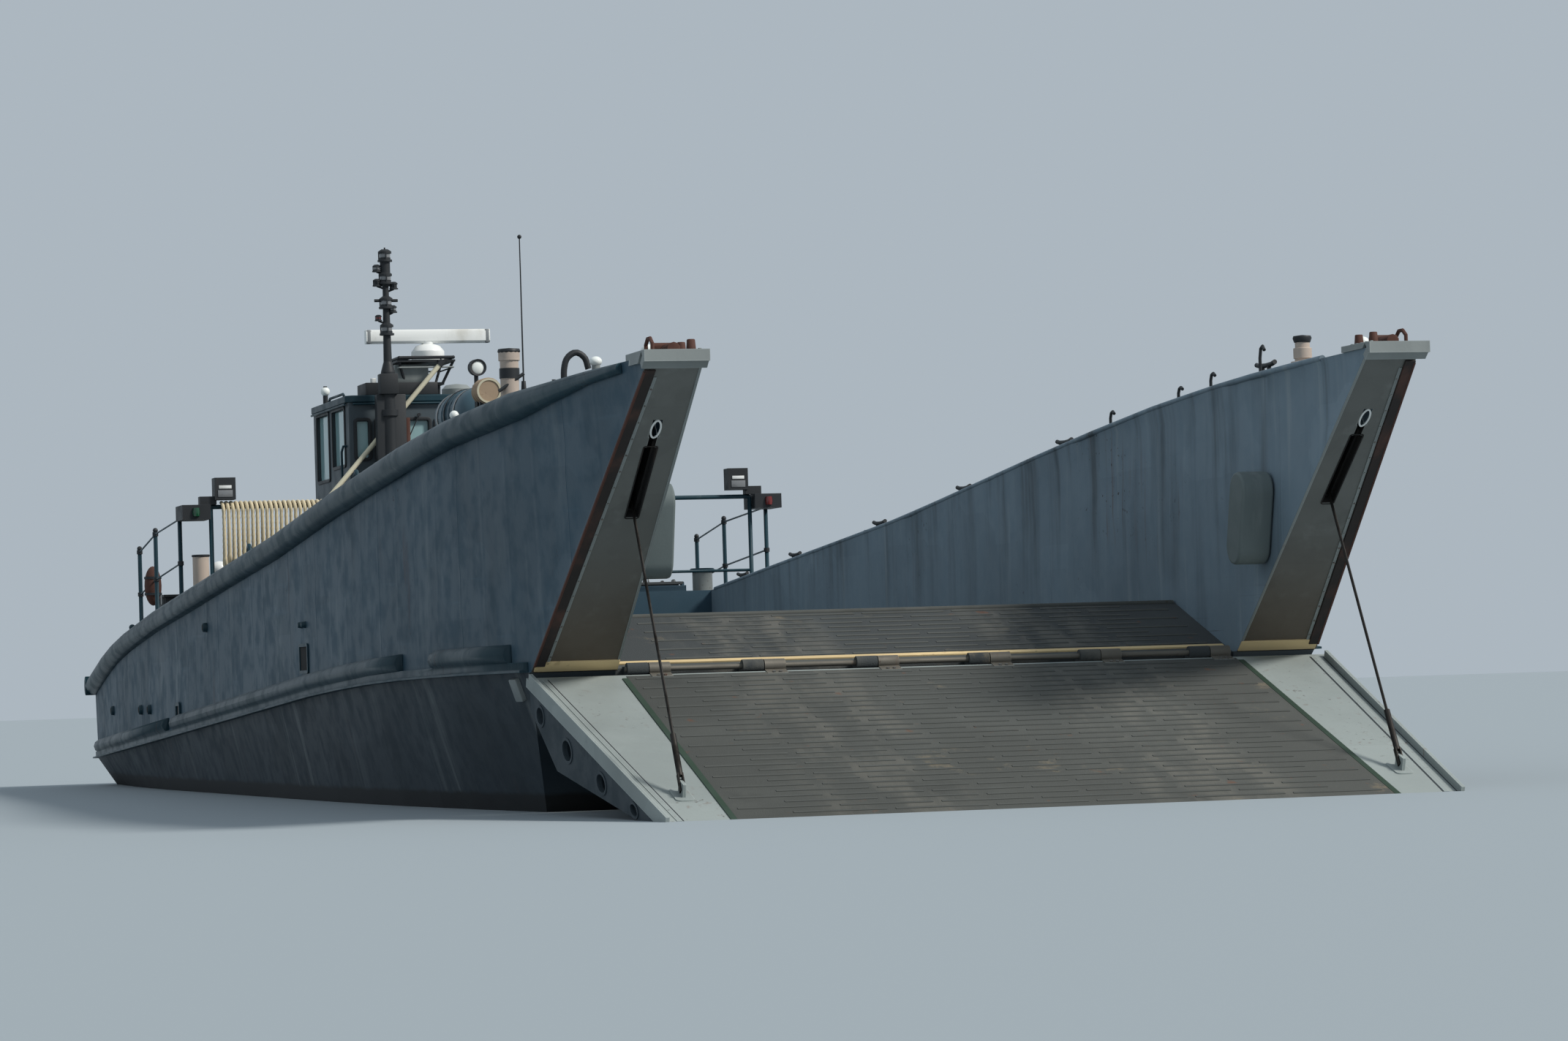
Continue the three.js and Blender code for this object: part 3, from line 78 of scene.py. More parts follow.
# Panes of each side wall as (from, to, sill height), of the front as (from, to)
SIDE_PANES = ((-8.15, -7.5, 3.02), (-7.3, -6.65, 3.12))
SIDE_PANE_TOP = 3.68
FRONT_PANES = ((-1.03, -0.9), (-0.83, -0.3), (-0.23, 0.23), (0.3, 0.83), (0.9, 1.03))
FRONT_PANE_LOW = 3.17
FRONT_PANE_HIGH = 3.545
AFTER_PANE_Y = -0.575
# The door's leaf, hung at its starboard edge
DOOR_Y = 0.87 - 0.37
DOOR_MIDDLE_Z = 2.62
DOOR_HINGE_Y = 0.235
GUARD_RAIL_X = -5.4
GUARD_RAIL_Z = 2.68
RAIL_TUBE = 0.021
MAST = Vector((-6.23, -0.74, 0.0))
RADAR = Vector((-6.85, -0.21, 4.13))
PROPELLER = Vector((-9.6, 1.25, -0.8))
SHAFT_TILT = math.radians(3)
SIDES = (("starboard", -1), ("port", 1))

# Half width of what is laid between the walls of the well
LAID_HALF = 2.19
# How far a strip is sunk into the plate that carries it
SUNK = 0.002
# Heights and widths that are clear of the whole craft, for rays that look for its surface
CLEAR_ABOVE = 5.0
CLEAR_BESIDE = 6.0
CLEAR_BELOW = -3.0
# Degrees between two faces past which their edge is sharp
CREASE = 38

RAMP_FRAME = Matrix.Translation(HINGE) @ Matrix.Rotation(RAMP_ANGLE, 4, "Y")
FACE_FRAME = Matrix.Translation(HINGE) @ Matrix.Rotation(-FACE_ANGLE, 4, "Y")


def placed(x, y, z, turn=0.0, axis="Z"):
    return Matrix.Translation((x, y, z)) @ Matrix.Rotation(turn, 4, axis)


# Frame with its own Z along a direction
def facing(point, direction, turn=0.0):
    quaternion = Vector(direction).to_track_quat("Z", "Y")
    return Matrix.Translation(point) @ quaternion.to_matrix().to_4x4() @ Matrix.Rotation(turn, 4, "Z")


# Camera: it stands where the photograph's stood, with a narrower lens

EYE = (39.94, -9.92, 0.79)
EYE_AZIMUTH = math.radians(15.9)
EYE_CLIMB = math.radians(2.0)
EYE_ROLL = math.radians(-1.8)
EYE_LENS = 110.5


def camera():
    level = math.cos(EYE_CLIMB)
    ahead = Vector((-math.cos(EYE_AZIMUTH) * level, math.sin(EYE_AZIMUTH) * level, math.sin(EYE_CLIMB)))
    eye = bpy.data.objects.new("camera", bpy.data.cameras.new("camera"))
    eye.data.lens = EYE_LENS
    eye.data.sensor_width = 36.0
    eye.data.clip_end = 1000.0
    turn = ahead.to_track_quat("-Z", "Y").to_matrix().to_4x4()
    eye.matrix_world = Matrix.Translation(EYE) @ turn @ Matrix.Rotation(EYE_ROLL, 4, "Z")
    bpy.context.scene.collection.objects.link(eye)
    bpy.context.scene.camera = eye


# Finishes

def srgb(red, green, blue):
    def linear(value):
        share = value / 255
        return share / 12.92 if share <= 0.04045 else ((share + 0.055) / 1.055) ** 2.4
    return (linear(red), linear(green), linear(blue), 1.0)


def shade(colour, share):
    return (*(min(1.0, part * share) for part in colour[:3]), 1.0)


class Finish:
    """A procedural finish that reads the craft's own coordinates."""

    def __init__(self, name, slot, colour, roughness, metallic=0.0, **sockets):
        self.slot = slot
        self.material = bpy.data.materials.new(name)
        self.material.use_nodes = True
        self.tree = self.material.node_tree
        self.shader = self.tree.nodes["Principled BSDF"]
        self.shader.inputs["Metallic"].default_value = metallic
        for socket, value in sockets.items():
            self.shader.inputs[socket.replace("_", " ")].default_value = value
        self.place = self.tree.nodes.new("ShaderNodeTexCoord").outputs["Object"]
        self.parts = self.tree.nodes.new("ShaderNodeSeparateXYZ")
        self.tree.links.new(self.place, self.parts.inputs[0])
        self.colour = self.shader.inputs["Base Color"]
        self.colour.default_value = colour
        self.rough = self.shader.inputs["Roughness"]
        self.rough.default_value = roughness
        self.normal = None

    def put(self, value, socket):
        if isinstance(value, bpy.types.NodeSocket):
            self.tree.links.new(value, socket)
        else:
            socket.default_value = value

    def along(self, axis):
        return self.parts.outputs[axis]

    def grain(self, scale, stretch=(1, 1, 1), shift=0.0, detail=3.0, roughness=0.55):
        mapping = self.tree.nodes.new("ShaderNodeMapping")
        self.put(self.place, mapping.inputs["Vector"])
        mapping.inputs["Scale"].default_value = stretch
        mapping.inputs["Location"].default_value = (shift, shift * 0.7, shift * 1.3)
        texture = self.tree.nodes.new("ShaderNodeTexNoise")
        self.put(mapping.outputs[0], texture.inputs["Vector"])
        texture.inputs["Scale"].default_value = scale
        texture.inputs["Detail"].default_value = detail
        texture.inputs["Roughness"].default_value = roughness
        return texture.outputs["Fac"]

    def cells(self, scale, stretch=(1, 1, 1), shift=0.0):
        mapping = self.tree.nodes.new("ShaderNodeMapping")
        self.put(self.place, mapping.inputs["Vector"])
        mapping.inputs["Scale"].default_value = stretch
        mapping.inputs["Location"].default_value = (shift, shift, shift)
        texture = self.tree.nodes.new("ShaderNodeTexVoronoi")
        texture.distance = "CHEBYCHEV"
        texture.inputs["Scale"].default_value = scale
        self.put(mapping.outputs[0], texture.inputs["Vector"])
        split = self.tree.nodes.new("ShaderNodeSeparateColor")
        self.put(texture.outputs["Color"], split.inputs[0])
        return split.outputs[0]

    def sum(self, operation, a, b=0.0):
        node = self.tree.nodes.new("ShaderNodeMath")
        node.operation = operation
        self.put(a, node.inputs[0])
        self.put(b, node.inputs[1])
        return node.outputs[0]

    # Smooth step from 0 at low to 1 at high, times strength; low above high turns it round
    def band(self, value, low, high, strength=1.0):
        node = self.tree.nodes.new("ShaderNodeMapRange")
        node.interpolation_type = "SMOOTHSTEP"
        flip = low > high
        self.put(value, node.inputs["Value"])
        node.inputs["From Min"].default_value = min(low, high)
        node.inputs["From Max"].default_value = max(low, high)
        node.inputs["To Min"].default_value = strength if flip else 0.0
        node.inputs["To Max"].default_value = 0.0 if flip else strength
        return node.outputs["Result"]

    def both(self, a, b):
        return self.sum("MULTIPLY", a, b)

    # Lays a colour, and a roughness if one is given, over what is there
    def over(self, colour, mask, roughness=None):
        node = self.tree.nodes.new("ShaderNodeMix")
        node.data_type = "RGBA"
        self.put(mask, node.inputs[0])
        start = self.colour
        self.put(start if start.is_output else tuple(start.default_value), node.inputs[6])
        self.put(colour, node.inputs[7])
        self.colour = node.outputs[2]
        self.put(self.colour, self.shader.inputs["Base Color"])
        if roughness is not None:
            self.gloss(roughness, mask)

    def gloss(self, roughness, mask):
        node = self.tree.nodes.new("ShaderNodeMix")
        node.data_type = "FLOAT"
        self.put(mask, node.inputs[0])
        start = self.rough
        self.put(start if start.is_output else start.default_value, node.inputs[2])
        self.put(roughness, node.inputs[3])
        self.rough = node.outputs[0]
        self.put(self.rough, self.shader.inputs["Roughness"])

    def relief(self, height, distance, strength=1.0):
        node = self.tree.nodes.new("ShaderNodeBump")
        node.inputs["Distance"].default_value = distance
        node.inputs["Strength"].default_value = strength
        self.put(height, node.inputs["Height"])
        if self.normal:
            self.put(self.normal, node.inputs["Normal"])
        self.normal = node.outputs[0]
        self.put(self.normal, self.shader.inputs["Normal"])

    # Share of an edge: 1 where the surface turns within the radius
    def edges(self, radius, low=0.02, high=0.12):
        bevel = self.tree.nodes.new("ShaderNodeBevel")
        bevel.samples = 4
        bevel.inputs["Radius"].default_value = radius
        surface = self.tree.nodes.new("ShaderNodeNewGeometry")
        dot = self.tree.nodes.new("ShaderNodeVectorMath")
        dot.operation = "DOT_PRODUCT"
        self.put(bevel.outputs[0], dot.inputs[0])
        self.put(surface.outputs["Normal"], dot.inputs[1])
        turn = self.sum("SUBTRACT", 1.0, dot.outputs["Value"])
        ragged = self.sum("MULTIPLY", turn, self.grain(14.0, detail=4.0))
        return self.band(ragged, low, high)

    # Lines across an axis at a spacing: 1 on the line and 0 a width away
    def seams(self, axis, spacing, width, shift=0.0):
        moved = self.sum("ADD", self.along(axis), shift)
        near = self.sum("PINGPONG", moved, spacing / 2)
        return self.band(near, width, 0.0)


RUST = srgb(104, 66, 44)
DARK_RUST = srgb(62, 42, 34)
SALT = srgb(176, 182, 180)
GRIME = srgb(48, 52, 52)
SAND = srgb(150, 134, 106)


# Paint over steel: mottled, run with water and rust, rubbed at its edges
# cross stretches the runs over X and Y
def weathered(
    name, slot, colour, roughness, streaks=0.0, rust=0.0, wear=0.0, metallic=0.0, shift=0.0, cross=(1, 1),
):
    paint = Finish(name, slot, colour, roughness, metallic, Specular_IOR_Level=0.28)
    paint.over(shade(colour, 0.78), paint.band(paint.grain(0.9, shift=shift, detail=5.0), 0.38, 0.68, 0.7))
    patches = paint.band(paint.cells(0.9, (1, 1, 1.6), shift), 0.62, 0.66, 0.22)
    paint.over(shade(colour, 1.22), patches, roughness * 0.8)
    if streaks:
        pale = paint.grain(1.0, (7 * cross[0], 7 * cross[1], 0.5), shift + 3, 4.0)
        paint.over(SALT, paint.band(pale, 0.55, 0.8, 0.35 * streaks))
        dark = paint.grain(1.0, (4 * cross[0], 4 * cross[1], 0.35), shift + 8, 4.0)
        paint.over(shade(colour, 0.5), paint.band(dark, 0.52, 0.78, 0.7 * streaks))
    if rust:
        runs = paint.band(paint.grain(1.0, (14 * cross[0], 14 * cross[1], 0.7), shift + 5, 3.0), 0.6, 0.74)
        places = paint.band(paint.grain(0.55, shift=shift + 11), 0.52, 0.7)
        paint.over(RUST, paint.both(paint.both(runs, places), 0.75 * rust), 0.85)
        spots = paint.both(paint.band(paint.grain(22.0, shift=shift, detail=2.0), 0.66, 0.72), places)
        paint.over(DARK_RUST, paint.both(spots, rust), 0.9)
    if wear:
        rubbed = paint.edges(0.012)
        paint.over(shade(colour, 1.7), paint.both(rubbed, wear), 0.45)
    paint.gloss(min(0.95, roughness * 1.35), paint.band(paint.grain(5.0, shift=shift + 2), 0.4, 0.7, 0.8))
    paint.relief(paint.grain(45.0, shift=shift, detail=2.0), 0.0012, 0.5)
    return paint


HAZE = srgb(52, 76, 90)


def hull_paint():
    paint = weathered("haze_grey", "hull_paint", HAZE, 0.5, streaks=0.6, rust=0.5, wear=0.35, cross=(0.4, 0))
    rubbed = paint.both(paint.band(paint.grain(1.0, (0.8, 0.8, 13), 4.0, 5.0), 0.6, 0.72), 0.3)
    paint.over(shade(HAZE, 1.4), rubbed)
    paint.relief(paint.seams(0, 2.4, 0.012), 0.004)
    paint.relief(paint.seams(0, 0.6, 0.05), 0.003, 0.5)
    return paint


def well_wall_paint():
    colour = srgb(120, 138, 150)
    paint = weathered("well_grey", "hull_paint", colour, 0.6, streaks=0.8, rust=0.7, shift=20.0, cross=(1, 0))
    runs = paint.band(paint.grain(1.0, (4, 0, 0.3), 31.0, 5.0), 0.5, 0.72)
    high = paint.band(paint.along(2), 0.9, 2.4)
    paint.over(GRIME, paint.both(paint.both(runs, high), 0.6))
    scrapes = paint.band(paint.grain(1.0, (0.5, 0.5, 22), 37.0, 4.0), 0.62, 0.7)
    paint.over(DARK_RUST, paint.both(scrapes, paint.band(paint.along(2), 1.6, 0.8, 0.7)))
    paint.relief(paint.seams(0, 2.4, 0.012), 0.004)
    return paint


def bow_face_paint():
    colour = srgb(108, 110, 107)
    paint = weathered("bow_face_grey", "hull_paint", colour, 0.6, streaks=0.4, rust=0.4, wear=0.7, shift=50.0)
    paint.over(srgb(92, 78, 62), paint.band(paint.along(2), 1.9, 1.0, 0.7))
    return paint


# Hull below the knuckle: the hull grey painted darker, as painted shade under the knuckle's overhang; the
# black boot-top at the waterline and the fouling below it are real paint and growth
def lower_hull_paint():
    colour = srgb(44, 55, 63)
    paint = weathered(
        "lower_grey", "bottom_paint", colour, 0.55, streaks=0.25, rust=0.4, shift=70.0, cross=(0.4, 0),
    )
    paint.over(SALT, paint.band(paint.grain(1.0, (5, 0, 0.25), 75.0, 3.0), 0.56, 0.74, 0.15))
    edge = paint.sum("ADD", paint.along(2), paint.both(paint.grain(4.0, shift=3.0), 0.05))
    paint.over(srgb(26, 28, 30), paint.band(edge, 0.17, 0.13), 0.6)
    slime = paint.band(paint.grain(3.0, shift=9.0, detail=6.0), 0.45, 0.62)
    wet = paint.band(edge, 0.03, -0.05)
    paint.over(srgb(70, 38, 33), paint.both(wet, 0.8), 0.8)
    paint.over(srgb(54, 60, 44), paint.both(paint.both(slime, wet), 0.7), 0.85)
    paint.relief(paint.both(paint.grain(60.0, detail=4.0), wet), 0.004)
    return paint


def rail_paint():
    colour = srgb(28, 56, 66)
    return weathered("rail_grey", "rail_paint", colour, 0.42, streaks=0.3, rust=0.6, wear=0.7, shift=90.0)


# Gritted deck paint, worn pale where wheels and boots run
def nonskid(name, slot, colour, lanes=0.0, shift=0.0):
    paint = Finish(name, slot, colour, 0.92)
    paint.over(shade(colour, 1.5), paint.band(paint.grain(0.8, shift=shift, detail=6.0), 0.45, 0.7, 0.55))
    grime = paint.band(paint.grain(2.2, shift=shift + 4, detail=5.0), 0.55, 0.72, 0.4)
    paint.over(shade(colour, 0.55), grime)
    if lanes:
        across = paint.sum("ABSOLUTE", paint.along(1))
        track = paint.both(paint.band(across, 0.45, 0.7), paint.band(across, 1.75, 1.35))
        broken = paint.band(paint.grain(1.0, (0.6, 4, 4), shift + 6, 6.0), 0.4, 0.65)
        paint.over(srgb(122, 118, 108), paint.both(paint.both(track, broken), lanes), 0.8)
    sand = paint.band(paint.grain(1.7, shift=shift + 9, detail=7.0, roughness=0.7), 0.6, 0.72, 0.35)
    paint.over(SAND, sand)
    paint.over(RUST, paint.band(paint.grain(6.0, shift=shift + 13, detail=4.0), 0.66, 0.74, 0.55))
    paint.relief(paint.grain(150.0, detail=1.0), 0.003, 0.9)
    paint.relief(paint.grain(2.0, shift=shift, detail=3.0), 0.006, 0.6)
    return paint


# Window glass: its pale blue base colour is a painted reflection of the sky on the panes
def glass():
    pane = Finish("pale_pane_painted_reflection", None, srgb(170, 205, 208), 0.06, IOR=1.45, Transmission_Weight=0.35)
    pane.gloss(0.35, pane.band(pane.grain(5.0, detail=5.0), 0.55, 0.8, 0.5))
    return pane


def lens(name, colour):
    made = Finish(name, None, colour, 0.12, IOR=1.5, Coat_Weight=0.6)
    made.relief(made.sum("PINGPONG", made.along(2), 0.005), 0.004)
    return made


def bare_metal(name, slot, colour, roughness, stain, metallic=0.9):
    metal = Finish(name, slot, colour, roughness, metallic)
    metal.over(stain, metal.band(metal.grain(7.0, detail=5.0), 0.45, 0.72, 0.75), min(0.9, roughness * 1.8))
    metal.relief(metal.grain(90.0, detail=2.0), 0.001, 0.4)
    return metal


def rope_fibre():
    fibre = Finish("laid_rope", "rope_fibre", srgb(204, 190, 158), 0.95, Sheen_Weight=0.3)
    fibre.over(srgb(172, 160, 132), fibre.band(fibre.grain(1.0, (1, 22, 0.8), detail=3.0), 0.48, 0.66, 0.6))
    fibre.over(srgb(146, 132, 104), fibre.band(fibre.grain(60.0, (1, 1, 0.3), 2.0), 0.62, 0.78, 0.3))
    fibre.relief(fibre.grain(260.0, (1, 1, 0.4)), 0.002, 0.8)
    return fibre


def plaster(name, slot, colour, roughness, stain, shift=0.0):
    shell = Finish(name, slot, colour, roughness)
    stained = shell.band(shell.grain(3.0, (1, 1, 0.5), shift, 5.0), 0.48, 0.74, 0.7)
    shell.over(stain, stained, min(0.9, roughness * 1.5))
    shell.relief(shell.grain(70.0, shift=shift), 0.0008, 0.5)
    return shell


finishes = {
    "hull": hull_paint(),
    "well_wall": well_wall_paint(),
    "bow_face": bow_face_paint(),
    "lower": lower_hull_paint(),
    "rail": rail_paint(),
    "deck": nonskid("deck_grit", "deck_nonskid", srgb(70, 74, 76)),
    "well_grit": nonskid("well_grit", "deck_nonskid", srgb(56, 60, 61), lanes=0.4, shift=12.0),
    "ramp_grit": nonskid("ramp_grit", "deck_nonskid", srgb(70, 72, 69), lanes=0.3, shift=33.0),
    "cleat": weathered("cleat_steel", "deck_nonskid", srgb(78, 80, 77), 0.7, rust=0.7, wear=0.4, shift=14.0),
    "ramp": weathered("ramp_grey", "ramp_paint", srgb(146, 154, 152), 0.55, rust=0.6, wear=0.6, shift=30.0),
    "web": weathered("web_grey", "ramp_paint", srgb(56, 66, 72), 0.6, rust=0.7, wear=0.5, shift=35.0),
    "hinge": weathered(
        "hinge_rusty", "pin_steel", srgb(108, 104, 96), 0.6, rust=1.0, wear=0.5, metallic=0.4, shift=38.0,
    ),
    "line": weathered("line_green", "ramp_paint", srgb(48, 66, 54), 0.7, shift=31.0),
    "light": weathered(
        "pale_grey", "light_paint", srgb(136, 142, 141), 0.5, streaks=0.4, rust=0.6, wear=0.5, shift=40.0,
    ),
    "housing": weathered(
        "housing_grey", "light_paint", srgb(104, 114, 114), 0.6, streaks=0.5, rust=0.7, shift=47.0,
    ),
    "dark": weathered("dark_grey", "dark_paint", srgb(44, 47, 50), 0.5, rust=0.3, wear=0.6, shift=60.0),
    "sill": weathered("sill_tan", "light_paint", srgb(222, 196, 148), 0.75, rust=0.6, shift=80.0),
    "chock": weathered("chock_brown", "light_paint", srgb(84, 56, 48), 0.7, rust=1.0, wear=0.4, shift=44.0),
    "house": weathered(
        "house_grey", "hull_paint", srgb(72, 82, 88), 0.5, streaks=0.5, rust=0.5, wear=0.5, shift=25.0,
    ),
    "rubber": plaster("seal_rubber", "seal_rubber", srgb(40, 34, 32), 0.8, srgb(92, 62, 52), 4.0),
    "tan": weathered("faded_tan", "tan_paint", srgb(160, 140, 118), 0.7, rust=0.4, shift=15.0),
    "cream": weathered("stay_cream", "cream_paint", srgb(208, 202, 178), 0.6, rust=0.6, shift=18.0),
    "white": plaster("white_shell", "white_enclosure", srgb(228, 230, 228), 0.35, srgb(186, 184, 174)),
    "grey_cap": plaster("grey_shell", "white_enclosure", srgb(130, 134, 136), 0.4, srgb(96, 98, 98)),
    "post": weathered("post_grey", "rail_paint", srgb(186, 172, 160), 0.6, rust=0.7, wear=0.4, shift=95.0),
    "canister": plaster("canister_shell", "canister_shell", srgb(62, 88, 100), 0.45, srgb(50, 66, 76), 6.0),
    "steel": bare_metal("worn_steel", "pin_steel", srgb(150, 150, 148), 0.4, RUST),
    "wire": bare_metal("greased_wire", "wire_steel", srgb(52, 50, 48), 0.5, srgb(30, 28, 26)),
    "bronze": bare_metal("dull_bronze", "propeller_bronze", srgb(168, 128, 74), 0.32, srgb(74, 82, 62)),
    "zinc": bare_metal("anode_zinc", "pin_steel", srgb(170, 172, 172), 0.6, srgb(120, 122, 118)),
    # Black finish: real soot and black parts, and painted shade in slots, openings and creases
    "black_and_shade": plaster("black_and_painted_shade", "dark_paint", srgb(24, 23, 22), 0.9, srgb(52, 42, 36), 3.0),
    "vinyl": plaster("seat_vinyl", "dark_paint", srgb(38, 40, 44), 0.5, srgb(60, 62, 64), 9.0),
    "rope": rope_fibre(),
    "glass": glass(),
    "lamp_white": lens("clear_lens", srgb(236, 240, 236)),
    "lamp_dull": lens("dull_lens", srgb(120, 122, 124)),
    "lamp_red": lens("red_lens", srgb(110, 24, 20)),
    "lamp_green": lens("green_lens", srgb(16, 70, 44)),
    "lamp_amber": lens("amber_lens", srgb(196, 130, 40)),
}


# Shaping

def faces_at(points):
    return list({face for point in points for face in point.link_faces})


class Work:
    """A piece in the making: shapes are added to one mesh, drawn in the frame that is set."""

    def __init__(self, *paints):
        self.mesh = bmesh.new()
        self.place = Matrix.Identity(4)
        self.paints = list(paints)
        self.paint = 0

    def use(self, paint):
        if paint not in self.paints:
            self.paints.append(paint)
        self.paint = self.paints.index(paint)
        return self

    def at(self, place):
        self.place = place
        return self

    def settle(self, points, local=None):
        move = self.place @ local if local else self.place
        bmesh.ops.transform(self.mesh, matrix=move, verts=points)
        for face in faces_at(points):
            face.material_index = self.paint
        return points

    def rounded(self, geom, width, segments=2, affect="EDGES"):
        return bmesh.ops.bevel(
            self.mesh, geom=geom, offset=width, offset_type="OFFSET", segments=segments,
            profile=0.5, affect=affect, material=-1, clamp_overlap=True,
        )

    def soften(self, points, width, segments=2):
        self.rounded(list({edge for point in points for edge in point.link_edges}), width, segments)

    # Box between two opposite corners, whichever of them is the lower
    def block(self, corner, other, edge=0.0):
        low, high = Vector(map(min, corner, other)), Vector(map(max, corner, other))
        points = bmesh.ops.create_cube(self.mesh, size=1.0)["verts"]
        self.settle(points, Matrix.Translation((low + high) / 2) @ Matrix.Diagonal((*(high - low), 1.0)))
        if edge:
            self.soften(points, edge)

    def rod(self, start, end, radius, sides=16, end_radius=None, edge=0.0):
        start, end = Vector(start), Vector(end)
        points = bmesh.ops.create_cone(
            self.mesh, cap_ends=True, segments=sides, radius1=radius,
            radius2=radius if end_radius is None else end_radius, depth=(end - start).length,
        )["verts"]
        self.settle(points, facing((start + end) / 2, end - start))
        if edge:
            self.soften(points, edge, 1)

    def ball(self, middle, radius, sides=20, squash=(1, 1, 1)):
        points = bmesh.ops.create_uvsphere(
            self.mesh, u_segments=sides, v_segments=sides // 2, radius=radius,
        )["verts"]
        self.settle(points, Matrix.Translation(middle) @ Matrix.Diagonal((*squash, 1.0)))

    # Profile of (radius, height) points spun about the frame's Z
    def turned(self, profile, steps=24, local=None):
        chain = [self.mesh.verts.new((radius, 0, height)) for radius, height in profile]
        edges = [self.mesh.edges.new(pair) for pair in zip(chain, chain[1:])]
        bmesh.ops.spin(
            self.mesh, geom=chain + edges, cent=(0, 0, 0), axis=(0, 0, 1), dvec=(0, 0, 0),
            angle=math.tau, steps=steps, use_merge=True, use_normal_flip=False, use_duplicate=False,
        )
        found = set(chain)
        todo = list(chain)
        while todo:
            point = todo.pop()
            for edge in point.link_edges:
                other = edge.other_vert(point)
                if other not in found:
                    found.add(other)
                    todo.append(other)
        axis_points = [point for point in found if math.hypot(point.co.x, point.co.y) < 1e-6]
        rest = [point for point in found if point not in set(axis_points)]
        self.settle(rest + axis_points, local)
        bmesh.ops.remove_doubles(self.mesh, verts=axis_points, dist=1e-6)

    # Flat band round the frame's Z
    def hoop(self, inner, outer, low, high, steps=24, local=None):
        self.turned([(inner, low), (outer, low), (outer, high), (inner, high)], steps, local)

    # Rounded rectangle or oval in the frame's XY, with a hole if a rim is given, thick along Z
    def plate(self, width, height, thick, corner=0.0, rim=0.0, oval=0, local=None, edge=0.0):
        if oval:
            points = bmesh.ops.create_circle(self.mesh, cap_ends=True, radius=0.5, segments=oval)["verts"]
        else:
            points = bmesh.ops.create_grid(self.mesh, x_segments=1, y_segments=1, size=0.5)["verts"]
        bmesh.ops.scale(self.mesh, vec=(width, height, 1), verts=points)
        if corner:
            cut = self.rounded(points, corner, 4, "VERTICES")
            points = list({point for face in cut["faces"] for point in face.verts} | set(cut["verts"]))
        face = faces_at([point for point in points if point.is_valid])[0]
        if face.normal.z < 0:
            face.normal_flip()
        sheet = [face]
        if rim:
            sheet = bmesh.ops.inset_region(
                self.mesh, faces=[face], thickness=rim, use_boundary=True, use_even_offset=True,
            )["faces"]
            bmesh.ops.delete(self.mesh, geom=[face], context="FACES_ONLY")
        grown = bmesh.ops.extrude_face_region(self.mesh, geom=sheet, use_keep_orig=True)
        raised = [item for item in grown["geom"] if isinstance(item, bmesh.types.BMVert)]
        bmesh.ops.translate(self.mesh, vec=(0, 0, thick), verts=raised)
        for flat in sheet:
            flat.normal_flip()
        every = list({point for item in sheet for point in item.verts} | set(raised))
        self.settle(every, local)
        if edge:
            near = {side for point in raised for side in point.link_edges}
            self.rounded([side for side in near if side.calc_face_angle(0) > 0.6], edge)

    # Round section drawn along a path; a lobed section twists as a laid rope does
    def swept(self, path, radius, sides=10, lobes=0, lay=0.0, caps=True):
        path = [Vector(point) for point in path]
        ring = bmesh.ops.create_circle(self.mesh, cap_ends=False, radius=radius, segments=sides)["verts"]
        if lobes:
            for index, point in enumerate(sorted(ring, key=lambda v: math.atan2(v.co.y, v.co.x))):
                angle = index / sides * math.tau
                point.co *= 0.96 + 0.04 * abs(math.cos(angle * lobes / 2))
        tangents = [
            (path[min(i + 1, len(path) - 1)] - path[max(i - 1, 0)]).normalized() for i in range(len(path))
        ]
        turn = tangents[0].to_track_quat("Z", "Y")
        frames = []
        gone = 0.0
        for index, (point, tangent) in enumerate(zip(path, tangents)):
            if index:
                turn = tangents[index - 1].rotation_difference(tangent) @ turn
                gone += (point - path[index - 1]).length
            twist = Matrix.Rotation(gone / lay * math.tau, 4, "Z") if lay else Matrix.Identity(4)
            frames.append(Matrix.Translation(point) @ turn.to_matrix().to_4x4() @ twist)
        bmesh.ops.transform(self.mesh, matrix=frames[0], verts=ring)
        first = ring
        every = list(ring)
        rim = list({edge for point in ring for edge in point.link_edges})
        for before, after in zip(frames, frames[1:]):
            grown = bmesh.ops.extrude_edge_only(self.mesh, edges=rim)["geom"]
            ring = [item for item in grown if isinstance(item, bmesh.types.BMVert)]
            rim = [item for item in grown if isinstance(item, bmesh.types.BMEdge)]
            rim = [edge for edge in rim if all(point in set(ring) for point in edge.verts)]
            bmesh.ops.transform(self.mesh, matrix=after @ before.inverted(), verts=ring)
            every += ring
        if caps:
            for end in (first, ring):
                near = {edge for point in end for edge in point.link_edges}
                bmesh.ops.contextual_create(self.mesh, geom=[edge for edge in near if edge.is_boundary])
        self.settle(every)

    def done(self, name, body="hull", smooth=CREASE, replaces=()):
        bmesh.ops.recalc_face_normals(self.mesh, faces=self.mesh.faces)
        return shown(name, self.mesh, self.paints, body, smooth=smooth, replaces=replaces)


# Turns a finished bmesh into a piece that rides on a body
def shown(name, shape, paints, body, edge=0.0, smooth=CREASE, replaces=(), subdivide=0):
    for face in shape.faces:
        face.smooth = True
    mesh = bpy.data.meshes.new(name)
    shape.to_mesh(mesh)
    shape.free()
    for paint in paints:
        mesh.materials.append(finishes[paint].material)
    mesh.set_sharp_from_angle(angle=math.radians(smooth))
    piece = bpy.data.objects.new(name, mesh)
    bpy.context.scene.collection.objects.link(piece)
    if edge:
        bevel = piece.modifiers.new("edges", "BEVEL")
        bevel.width = edge
        bevel.segments = 2
        bevel.limit_method = "ANGLE"
        bevel.angle_limit = math.radians(CREASE)
        bevel.harden_normals = True
    if subdivide:
        smoother = piece.modifiers.new("surface", "SUBSURF")
        smoother.levels = subdivide
        smoother.render_levels = subdivide
    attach(piece, body)
    if replaces:
        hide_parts(*replaces)
    return piece


bodies_of = {node: body for body, nodes in frame["record"]["behaviour"]["bodies"].items() for node in nodes}


